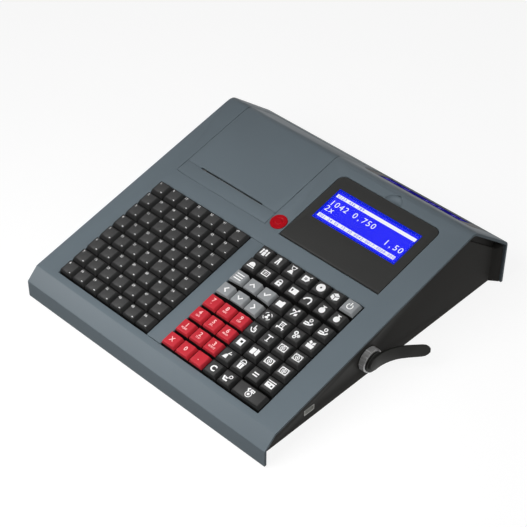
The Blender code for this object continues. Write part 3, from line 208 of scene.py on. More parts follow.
def streakedSteel(name, tones, rough, widths, metallic):
    made, tree, shader, place = newMaterial(name, Metallic=metallic)
    stretched = addNode(
        tree, "ShaderNodeMapping", {"Scale": Vector(1 / width for width in widths)}, {"Vector": place}
    )
    streaks = addNode(
        tree,
        "ShaderNodeTexNoise",
        {"Scale": 1, "Detail": 4},
        {"Vector": stretched.outputs["Vector"]},
    )
    showPattern(
        tree, shader, streaks.outputs["Fac"], tones, (rough - 0.1, rough + 0.1), steelDepth
    )
    return made


for name, look in steelLooks.items():
    finishes[name] = streakedSteel(name, *look)

# Lit display: a backlight whose brightness drifts slightly, behind the dots of the panel
backlightDrift = 40 * mm
litLooks = {  # colour of the light, and its strength
    "backlitBlue": ("#2a2cff", 1.0),
    "backlitRim": ("#0c22d4", 1.0),
    "backlitWhite": ("#fcfcff", 1.0),
    "customerBlue": ("#1c1878", 0.8),
    "customerViolet": ("#6a60c8", 0.9),
}


def litPanel(name, tone, strength):
    made, tree, shader, place = newMaterial(
        name,
        Roughness=0.6,
        **{
            "Specular IOR Level": 0,
            "Base Color": linear("#050505"),
            "Emission Color": linear(tone),
        },
    )
    glow = addNode(
        tree, "ShaderNodeTexNoise", {"Scale": 1 / backlightDrift, "Detail": 1}, {"Vector": place}
    )
    level = addNode(
        tree,
        "ShaderNodeMapRange",
        {"To Min": strength * 0.96, "To Max": strength * 1.04},
        {"Value": glow.outputs["Fac"]},
    )
    linkTo(tree, shader, {"Emission Strength": level.outputs["Result"]})
    return made


for name, look in litLooks.items():
    finishes[name] = litPanel(name, *look)

# Printed ink on the keys' labels: opaque, with a slightly uneven coat
inkLooks = {"whiteInk": ("#f6f6f6", "#ffffff"), "pinkInk": ("#ffcaca", "#ffd8d8")}
inkUneven = 1.5 * mm


def printedInk(name, tones):
    made, tree, shader, place = newMaterial(name, Roughness=0.55, **{"Specular IOR Level": 0.3})
    coat = addNode(
        tree, "ShaderNodeTexNoise", {"Scale": 1 / inkUneven, "Detail": 2}, {"Vector": place}
    )
    showPattern(tree, shader, coat.outputs["Fac"], tones)
    return made


for name, tones in inkLooks.items():
    finishes[name] = printedInk(name, tones)

# Clear acrylic with an anti-glare coat: it hardly reflects, and its shine is a little uneven
acrylicLook = {"tone": "#f4f7fa", "ior": 1.1, "haze": 25 * mm, "roughness": (0.0, 0.06)}


def clearAcrylic(name, tone, ior, haze, roughness):
    made, tree, shader, place = newMaterial(
        name, **{"Base Color": linear(tone), "Transmission Weight": 1, "IOR": ior}
    )
    cloud = addNode(
        tree, "ShaderNodeTexNoise", {"Scale": 1 / haze, "Detail": 3}, {"Vector": place}
    )
    showPattern(tree, shader, cloud.outputs["Fac"], roughness=roughness)
    return made


finishes["clearAcrylic"] = clearAcrylic("clearAcrylic", **acrylicLook)

# Circuit board: glass-fibre laminate under green lacquer, its weave just visible
boardLook = {
    "threads": ("#0f5a34", "#126339"),
    "gap": "#0b4a2b",
    "weave": 4 * mm,  # coarser than real cloth, so that it shows
    "depth": 0.02 * mm,
}


def lacqueredBoard(name, threads, gap, weave, depth):
    made, tree, shader, place = newMaterial(name, **{"Coat Weight": 0.3, "Coat Roughness": 0.2})
    cloth = addNode(
        tree,
        "ShaderNodeTexBrick",
        {
            "Scale": 1 / weave,
            "Color1": linear(threads[0]),
            "Color2": linear(threads[1]),
            "Mortar": linear(gap),
        },
        {"Vector": place},
    )
    linkTo(tree, shader, {"Base Color": cloth.outputs["Color"]})
    showPattern(tree, shader, cloth.outputs["Fac"], depth=depth)
    return made


finishes["lacqueredBoard"] = lacqueredBoard("lacqueredBoard", **boardLook)

# Thermal paper and the roll's greyboard core: smooth and matt, with fine fibres
paperLooks = {"thermalPaper": ("#e4e3dd", "#f0efea"), "greyboard": ("#8c8375", "#a39a8b")}
fibreWidth = 1.2 * mm
fibreDepth = 0.01 * mm


def fibrousPaper(name, tones):
    made, tree, shader, place = newMaterial(name, Roughness=0.85)
    fibres = addNode(
        tree, "ShaderNodeTexNoise", {"Scale": 1 / fibreWidth, "Detail": 5}, {"Vector": place}
    )
    showPattern(tree, shader, fibres.outputs["Fac"], tones, depth=fibreDepth)
    return made


for name, tones in paperLooks.items():
    finishes[name] = fibrousPaper(name, tones)
print("materials ready:", len(finishes))


def namedLike(part):
    return [n for n in nodes if part in n]


# Which finish each CAD node wears, and the record's slot for pieces that stand for it
dress = {
    "coverGreyAbs": ("cover_grey", ["top_cover", "key_divider", "printer_lid", "lid_front_strip"]),
    "tubBlackAbs": (
        "base_black",
        ["base_tub", "paper_bin", "power_inlet", "lcd_module", "customer_display", "print_head"],
    ),
    "guideBlackAndGapShade": ("base_black", ["key_guide"]),
    "keyGreyPbt": ("key_grey", ["power_key", "menu_keys", "arrow_keys"]),
    "keyRedPbt": ("key_red", ["multiply_key", "point_key"] + namedLike("digit_key")),
    "buttonRedAbs": ("button_red", ["round_button"]),
    "bezelBlackAbs": ("display_black", ["display_housing", "customer_window"]),
    "keyHandleNylon": ("base_black", ["operator_key"]),
    "clearAcrylic": ("clear_window", ["display_window"]),
    "lacqueredBoard": ("circuit_board", ["keyboard_board", "main_board"]),
    "thermalPaper": ("paper", ["paper_roll"]),
    "satinNickel": ("steel", ["lock_ring"]),
    "turnedSteel": ("steel", ["lid_hinge_pin", "display_hinge_pin", "printer_motor"]),
    "sheetSteel": ("steel", ["usb_socket"]),
    # the tear bar's steel, darkened with painted shade of its teeth and slot
    "toothShadeSteel": ("steel", ["tear_bar"]),
    "naturalNylon": ("white_plastic", ["platen_gear", "motor_pinion"]),
    "mouldedRubber": ("rubber", ["platen_roller"] + namedLike("_foot")),
}
dressed = {node for slotName, members in dress.values() for node in members}
dress["keyBlackPbt"] = ("key_black", [n for n in nodes if n not in dressed])
finishOf = {node: name for name, (slotName, members) in dress.items() for node in members}
for node, name in finishOf.items():
    nodes[node].data.materials.clear()
    nodes[node].data.materials.append(finishes[name])


# Pieces
cadWeld = 0.005 * mm
spinWeld = 0.001 * mm
flatWithin = math.radians(0.3)
sharpFrom = math.radians(30)


def addPiece(name, bm, finish, body, replaced=()):
    mesh = bpy.data.meshes.new(name)
    bm.to_mesh(mesh)
    bm.free()
    mesh.materials.append(finishes[finish])
    mesh.shade_smooth()
    mesh.set_sharp_from_angle(angle=sharpFrom)
    piece = bpy.data.objects.new(name, mesh)
    bpy.context.scene.collection.objects.link(piece)
    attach(piece, body)
    if replaced:
        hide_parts(*replaced)
    return piece


def copyOf(node):  # a CAD node's mesh with its loose triangles merged and its flat faces whole
    bm = bmesh.new()
    bm.from_mesh(nodes[node].data)
    bmesh.ops.remove_doubles(bm, verts=bm.verts[:], dist=cadWeld)
    bmesh.ops.dissolve_limit(bm, angle_limit=flatWithin, verts=bm.verts[:], edges=bm.edges[:])
    return bm


def softenEdges(bm, width, segments, wanted=lambda edge: True, room=2):
    bm.normal_update()
    tight = {v for e in bm.edges if e.calc_length() < room * width for v in e.verts}
    corners = [
        e
        for e in bm.edges
        if len(e.link_faces) == 2
        and e.calc_face_angle() > sharpFrom
        and not tight & set(e.verts)
        and wanted(e)
    ]
    bmesh.ops.bevel(
        bm,
        geom=corners,
        offset=width,
        offset_type="OFFSET",
        segments=segments,
        profile=0.5,
        affect="EDGES",
        material=-1,
        clamp_overlap=False,
        loop_slide=True,
    )
    return bm


def bodyOf(node):
    return nodes[node]["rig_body"]


def standIn(name, node, bm):
    return addPiece(name, bm, finishOf[node], bodyOf(node), [node])


# Shells, covers and small moulded pieces: the CAD solids with their edges rounded
edgeRadii = {
    "top_cover": 0.4 * mm,
    "base_tub": 0.4 * mm,
    "key_divider": 0.25 * mm,
    "printer_lid": 0.35 * mm,
    "lid_front_strip": 0.3 * mm,
    "display_housing": 0.35 * mm,
    "customer_window": 0.3 * mm,
    "operator_key": 0.5 * mm,
    "paper_bin": 0.4 * mm,
    "power_inlet": 0.3 * mm,
    "usb_socket": 0.12 * mm,
    "tear_bar": 0.08 * mm,
    "platen_gear": 0.08 * mm,
    "motor_pinion": 0.08 * mm,
    "printer_motor": 0.3 * mm,
    "print_head": 0.3 * mm,
    "key_guide": 0.2 * mm,
}
for node, radius in edgeRadii.items():
    standIn(node + "_rounded", node, softenEdges(copyOf(node), radius, 2))
print("shells ready:", len(edgeRadii))


# Turned pieces: a profile of (radius, height) points, spun about Z and then stood in its place
def spun(profile, matrix, steps=72, closed=False):
    bm = bmesh.new()
    rim = [bm.verts.new((radius, 0, height)) for radius, height in profile]
    line = [bm.edges.new(pair) for pair in zip(rim, rim[1:])]
    if closed:
        line.append(bm.edges.new((rim[-1], rim[0])))
    bmesh.ops.spin(
        bm,
        geom=rim + line,
        cent=(0, 0, 0),
        axis=(0, 0, 1),
        angle=math.tau,
        steps=steps,
        use_merge=True,
    )
    bmesh.ops.remove_doubles(bm, verts=bm.verts[:], dist=spinWeld)
    bmesh.ops.recalc_face_normals(bm, faces=bm.faces[:])
    bmesh.ops.transform(bm, matrix=matrix, verts=bm.verts[:])
    return bm


def alongX(node):  # the frame of a round node that lies along X: Z runs to the right
    low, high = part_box(node)
    middle = (Vector(low) + Vector(high)) / 2
    middle.x = low[0]
    return Matrix.Translation(middle) @ Matrix.Rotation(math.pi / 2, 4, "Y")


def sizeOf(node):  # a node's length, and its radius across Z
    low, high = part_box(node)
    return high[0] - low[0], (high[2] - low[2]) / 2


def rodProfile(radius, length, chamfer):  # a plain rod with both ends chamfered
    return [
        (0, 0),
        (radius - chamfer, 0),
        (radius, chamfer),
        (radius, length - chamfer),
        (radius - chamfer, length),
        (0, length),
    ]


# Lock ring: a turned steel collar with rounded corners and fine turning grooves round it, whose
# sleeve, bore and floor are measured on the CAD node
ringLook = {"corner": 0.5 * mm, "groove": 0.12 * mm, "grooves": 5}
ringLength, ringRadius = sizeOf("lock_ring")
ringPlace = alongX("lock_ring")
ringPoints = pointsIn(ringPlace, "lock_ring")


def ringProfile(corner, groove, grooves):
    start = min(p.z for p in ringPoints if p.xy.length > 0.95 * ringRadius)
    sleeve = max(p.xy.length for p in ringPoints if p.z < 0.5 * start)
    inner = min(p.xy.length for p in ringPoints)
    floorHeight = min(p.z for p in ringPoints if p.xy.length < 1.01 * inner)
    band = (ringLength - corner - start - corner) / grooves
    profile = [(0, 0), (sleeve, 0), (sleeve, start)]
    profile.append((ringRadius - corner, start))
    profile.append((ringRadius, start + corner))
    for turn in range(grooves):
        at = start + corner + turn * band
        profile.append((ringRadius, at + band * 0.35))
        profile.append((ringRadius - groove, at + band * 0.5))
        profile.append((ringRadius, at + band * 0.65))
    profile.append((ringRadius, ringLength - corner))
    profile.append((ringRadius - corner * 0.3, ringLength - corner * 0.3))
    profile.append((ringRadius - corner, ringLength))
    profile.append((inner + corner, ringLength))
    profile.append((inner, ringLength - corner))
    profile.append((inner, floorHeight))
    profile.append((0, floorHeight))
    return profile


standIn("lock_ring_collar", "lock_ring", spun(ringProfile(**ringLook), ringPlace, 96))

# Round button: a slightly dished head with a rounded rim and a plain ring pressed into it
buttonLook = {
    "rim": 0.5 * mm,
    "dish": 0.25 * mm,
    "ringInner": 3.6 * mm,
    "ringOuter": 5.0 * mm,
    "ringDepth": 0.3 * mm,
    "head": 4.2 * mm,
    "stem": 3 * mm,
}
buttonLow, buttonHigh = boxIn(slope, "round_button")
buttonMiddle = (buttonLow + buttonHigh) / 2


def buttonProfile(rim, dish, ringInner, ringOuter, ringDepth, head, stem):
    radius = (buttonHigh.x - buttonLow.x) / 2
    top = buttonHigh.z
    return [
        (0, top - dish),
        (ringInner - rim, top - dish),
        (ringInner, top - dish - ringDepth),
        (ringOuter, top - dish - ringDepth),
        (ringOuter + rim, top - dish * 0.6),
        (radius - 2 * rim, top),
        (radius - rim, top),
        (radius - rim * 0.3, top - rim * 0.3),
        (radius, top - rim),
        (radius, top - head),
        (stem, top - head),
        (stem, buttonLow.z),
        (0, buttonLow.z),
    ]


buttonPlace = slope @ Matrix.Translation((buttonMiddle.x, buttonMiddle.y, 0))
standIn("round_button_head", "round_button", spun(buttonProfile(**buttonLook), buttonPlace, 96))

# Platen: a rubber roller ground smooth, on its steel shaft
platenLook = {"rubberEdge": 0.4 * mm, "shaftChamfer": 0.3 * mm}
platenLength, platenRadius = sizeOf("platen_roller")
platenPlace = alongX("platen_roller")
platenPoints = pointsIn(platenPlace, "platen_roller")
shaftRadius = min(p.xy.length for p in platenPoints if p.xy.length > 0.01 * platenRadius)


def rubberProfile(rubberEdge):
    heights = [p.z for p in platenPoints if p.xy.length > 0.8 * platenRadius]
    near, far = min(heights), max(heights)
    return [
        (shaftRadius, near),
        (platenRadius - rubberEdge, near),
        (platenRadius, near + rubberEdge),
        (platenRadius, far - rubberEdge),
        (platenRadius - rubberEdge, far),
        (shaftRadius, far),
    ]


rubber = spun(rubberProfile(platenLook["rubberEdge"]), platenPlace, 64, closed=True)
standIn("platen_rubber", "platen_roller", rubber)
addPiece(
    "platen_shaft",
    spun(rodProfile(shaftRadius, platenLength, platenLook["shaftChamfer"]), platenPlace, 32),
    "turnedSteel",
    bodyOf("platen_roller"),
)

# Hinge pins: drawn steel wire with its ends chamfered
pinChamferShare = 0.3  # of the radius
for node in ("lid_hinge_pin", "display_hinge_pin"):
    length, radius = sizeOf(node)
    profile = rodProfile(radius, length, pinChamferShare * radius)
    standIn(node + "_wire", node, spun(profile, alongX(node), 32))

# Paper roll: its wound layers show at the ends as fine steps, round a cardboard core
rollLook = {"core": 6 * mm, "coreWall": 1.2 * mm, "layer": 1.2 * mm, "step": 0.15 * mm}
rollLength, rollRadius = sizeOf("paper_roll")


def rollProfile(core, coreWall, layer, step):
    turns = int((rollRadius - core - coreWall) / layer)
    nearEnd = []
    for turn in range(turns):
        radius = core + coreWall + turn * layer
        inset = step * (turn % 2)
        nearEnd.append((radius, inset))
        nearEnd.append((radius + layer * 0.9, inset))
    nearEnd.append((rollRadius - step, 0))
    nearEnd.append((rollRadius, step))
    farEnd = [(radius, rollLength - height) for radius, height in reversed(nearEnd)]
    return nearEnd + farEnd


def coreProfile(core, coreWall):
    outer = core + coreWall
    return [(core, 0), (outer, 0), (outer, rollLength), (core, rollLength)]


rollPlace = alongX("paper_roll")
layers = spun(rollProfile(**rollLook), rollPlace, 96, closed=True)
standIn("paper_roll_layers", "paper_roll", layers)
addPiece(
    "paper_roll_core",
    spun(coreProfile(rollLook["core"], rollLook["coreWall"]), rollPlace, 64, closed=True),
    "greyboard",
    bodyOf("paper_roll"),
)

# Feet: rubber discs with a rounded tread edge and a shallow cup below
footShares = {"cupDepth": 0.1, "cupRadius": 0.5, "treadStart": 0.6, "edge": 0.25}


def footProfile(radius, height, cupDepth, cupRadius, treadStart, edge):
    corner = edge * height
    return [
        (0, cupDepth * height),
        (cupRadius * radius, cupDepth * height),
        (treadStart * radius, 0),
        (radius - corner, 0),
        (radius - corner * 0.3, corner * 0.3),
        (radius, corner),
        (radius, height),
        (0, height),
    ]


for node in namedLike("_foot"):
    low, high = (Vector(corner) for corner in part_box(node))
    place = (low + high) / 2
    place.z = low.z
    profile = footProfile((high.x - low.x) / 2, high.z - low.z, **footShares)
    standIn(node + "_tread", node, spun(profile, Matrix.Translation(place), 48))
print("turned pieces ready")

# Keys: the moulded caps of a node with rounded edges; a black cap's top is a label plate in a groove
keyLooks = {
    "blackEdge": (0.2 * mm, 2),  # radius and steps of the rounded edges
    "colourEdge": (0.5 * mm, 3),
    "plateRim": 0.3 * mm,
    "grooveWidth": 0.45 * mm,
    "grooveDepth": 0.4 * mm,
    "plateRise": 0.05 * mm,
    "plateClear": 0.1 * mm,  # on a black cap, edges nearer than this to the top stay sharp
    "skirtStart": 1.5 * mm,  # how far below its top a cap is drawn in
    "sideDraft": 0.1 * mm,
    "frontDraft": 1.4 * mm,
    "smallestTop": 5 * mm,
    "topBand": 0.5 * mm,
    "pitch": 19 * mm,
}
capTop = boxIn(slope, "digit_key_5")[1].z
slopeBack = slope.inverted()
keyNodes = [n for n in nodes if finishOf[n] in ("keyBlackPbt", "keyRedPbt", "keyGreyPbt")]
capPlaces = {}


def capFaces(bm):  # the flat tops of the caps
    off = slope.to_3x3().col[2]
    lowest = capTop - keyLooks["topBand"]
    return [
        f
        for f in bm.faces
        if f.normal.dot(off) > math.cos(flatWithin)
        and (slopeBack @ f.calc_center_median()).z > lowest
        and f.calc_area() > keyLooks["smallestTop"] ** 2
    ]


def drawIn(bm, top):  # the skirt below a cap's top, drawn in on all four sides
    middle = slopeBack @ top.calc_center_bounds()
    margin = keyLooks["pitch"] / 4
    reach = max(abs((slopeBack @ v.co).x - middle.x) for v in top.verts)
    deep = max(abs((slopeBack @ v.co).y - middle.y) for v in top.verts)
    for v in bm.verts:
        place = slopeBack @ v.co
        away = place - middle
        below = place.z <= capTop - keyLooks["skirtStart"]
        inWidth = reach < abs(away.x) <= reach + margin
        inDepth = deep < abs(away.y) <= deep + margin
        if below and inWidth and inDepth:
            place.x -= math.copysign(keyLooks["sideDraft"], away.x)
            place.y -= math.copysign(keyLooks["frontDraft"], away.y)
            v.co = slope @ place


def cutGrooves(bm, faces):
    half = keyLooks["grooveWidth"] / 2
    depth = keyLooks["grooveDepth"]
    steps = ((keyLooks["plateRim"], 0), (half, -depth), (half, depth + keyLooks["plateRise"]))
    for inward, upward in steps:
        bmesh.ops.inset_individual(
            bm, faces=faces, thickness=inward, depth=upward, use_even_offset=True
        )


def buildCaps(node):  # materials: 0 the caps, 1 the black below them, which is painted shade in the gaps, 2 the label plates
    black = finishOf[node] == "keyBlackPbt"
    bm = copyOf(node)
    bm.normal_update()
    faces = capFaces(bm)
    places = [slopeBack @ f.calc_center_bounds() for f in faces]
    capPlaces[node] = sorted(places, key=lambda p: (-round(p.y / mm), p.x))
    for f in bm.faces:  # stems, skirts and webs below the cover's face are painted black: painted shade in the gaps between the caps
        if (slopeBack @ f.calc_center_bounds()).z < 0:
            f.material_index = 1
    for f in faces:
        drawIn(bm, f)
    if black:
        cutGrooves(bm, faces)
        for f in faces:
            f.material_index = 2
    ceiling = capTop - keyLooks["plateClear"] if black else math.inf

    def exposed(edge):  # above the cover's face, and below a label plate
        heights = [(slopeBack @ v.co).z for v in edge.verts]
        return min(heights) > 0 and max(heights) < ceiling

    radius, steps = keyLooks["blackEdge" if black else "colourEdge"]
    softenEdges(bm, radius, steps, exposed, room=1)
    caps = standIn(node + "_caps", node, bm)
    # The caps' lower faces wear the guide's black as painted shade in the gaps
    for name in ("guideBlackAndGapShade", "labelBlackPetg") if black else ("guideBlackAndGapShade",):
        caps.data.materials.append(finishes[name])


for node in keyNodes:
    buildCaps(node)
print("keys ready:", len(keyNodes))


# Flat marks: outlines filled in the plane, which become thin plates of ink
def addDisc(bm, x, y, radius, steps=24):
    made = bmesh.ops.create_circle(bm, cap_ends=True, segments=steps, radius=radius)
    bmesh.ops.translate(bm, verts=made["verts"], vec=(x, y, 0))


def addBar(bm, x, y, width, height, turn=0):
    made = bmesh.ops.create_grid(bm, x_segments=1, y_segments=1, size=0.5)
    bmesh.ops.scale(bm, verts=made["verts"], vec=(width, height, 1))
    place = Matrix.Translation((x, y, 0)) @ Matrix.Rotation(math.radians(turn), 4, "Z")
    bmesh.ops.transform(bm, verts=made["verts"], matrix=place)


def addShape(bm, *loops):  # an outline, and the holes in it
    edges = []
    for loop in loops:
        verts = [bm.verts.new((x, y, 0)) for x, y in loop]
        edges += [bm.edges.new(pair) for pair in zip(verts, verts[1:] + verts[:1])]
    bmesh.ops.triangle_fill(bm, use_beauty=True, use_dissolve=False, edges=edges)


mitreLimit = 0.4  # keeps the corner of a sharp bend from running far out


def addLine(bm, points, width, closed=False):  # an even line, mitred at its bends
    path = [Vector(p) for p in points]
    sides = []
    for i, point in enumerate(path):
        before = path[i - 1] if i or closed else None
        after = path[(i + 1) % len(path)] if i + 1 < len(path) or closed else None
        runs = [(point - before).normalized()] if before else []
        runs += [(after - point).normalized()] if after else []
        along = sum(runs, Vector((0, 0))).normalized()
        across = Vector((-along.y, along.x)) * width / 2 / max(along.dot(runs[0]), mitreLimit)
        sides.append([bm.verts.new((*(point + s * across), 0)) for s in (1, -1)])
    for near, far in zip(sides, sides[1:] + sides[:1] if closed else sides[1:]):
        bm.faces.new((near[0], near[1], far[1], far[0]))


def arc(x, y, radius, start, end, steps=12):  # points on an arc, its angles in degrees
    turns = [math.radians(start + (end - start) * i / steps) for i in range(steps + 1)]
    return [(x + radius * math.cos(t), y + radius * math.sin(t)) for t in turns]


def circle(x, y, radius, steps=20):
    return arc(x, y, radius, 0, 360 - 360 / steps, steps - 1)


def box(x, y, width, height):
    return [
        (x - width / 2, y - height / 2),
        (x + width / 2, y - height / 2),
        (x + width / 2, y + height / 2),
        (x - width / 2, y + height / 2),
    ]


def addRing(bm, x, y, radius, width, start=0, end=360):
    whole = end - start >= 360
    points = circle(x, y, radius) if whole else arc(x, y, radius, start, end)
    addLine(bm, points, width, closed=whole)


digitShare = 0.69  # a digit's height over the font's size


def addText(bm, words, x, y, height, weight=0.0, spread=0.0):  # centred, or one letter to a cell
    size = height / digitShare
    cells = [(words, x)] if not spread else [(c, x + i * spread) for i, c in enumerate(words)]
    for letters, at in cells:
        if letters == " ":
            continue
        data = bpy.data.curves.new("letters", "FONT")
        data.body = letters
        data.size = size
        data.offset = weight * size
        data.align_x = "CENTER"
        data.align_y = "BOTTOM_BASELINE"
        data.resolution_u = 3
        data.fill_mode = "FRONT"
        holder = bpy.data.objects.new("letters", data)
        flat = bpy.data.meshes.new_from_object(holder)
        known = set(bm.verts)
        bm.from_mesh(flat)
        fresh = [v for v in bm.verts if v not in known]
        bmesh.ops.translate(bm, verts=fresh, vec=(at, y - height / 2, 0))
        bmesh.ops.remove_doubles(bm, verts=fresh, dist=height / 1000)
        bpy.data.objects.remove(holder)
        bpy.data.curves.remove(data)
        bpy.data.meshes.remove(flat)


markMakers = {
    "disc": addDisc,
    "bar": addBar,
    "shape": addShape,
    "line": addLine,
    "ring": addRing,
    "text": addText,
}


def drawMarks(bm, marks, x, y, size):
    for kind, *values in marks:
        known = set(bm.verts)
        markMakers[kind](bm, *values)
        fresh = [v for v in bm.verts if v not in known]
        bmesh.ops.scale(bm, verts=fresh, vec=(size, size, 1))
        bmesh.ops.translate(bm, verts=fresh, vec=(x, y, 0))


def inkPlates(bm, height, thickness, matrix):  # flat marks made into closed plates in their place
    flat = bm.faces[:]
    bmesh.ops.recalc_face_normals(bm, faces=flat)
    down = [f for f in bm.faces if f.normal.z < 0]
    bmesh.ops.reverse_faces(bm, faces=down)
    raised = bmesh.ops.extrude_face_region(bm, geom=flat, use_keep_orig=True)
    moved = [v for v in raised["geom"] if isinstance(v, bmesh.types.BMVert)]
    bmesh.ops.translate(bm, verts=moved, vec=(0, 0, thickness))
    bmesh.ops.reverse_faces(bm, faces=flat)
    bmesh.ops.recalc_face_normals(bm, faces=bm.faces[:])
    place = matrix @ Matrix.Translation((0, 0, height))
    bmesh.ops.transform(bm, matrix=place, verts=bm.verts[:])
    return bm


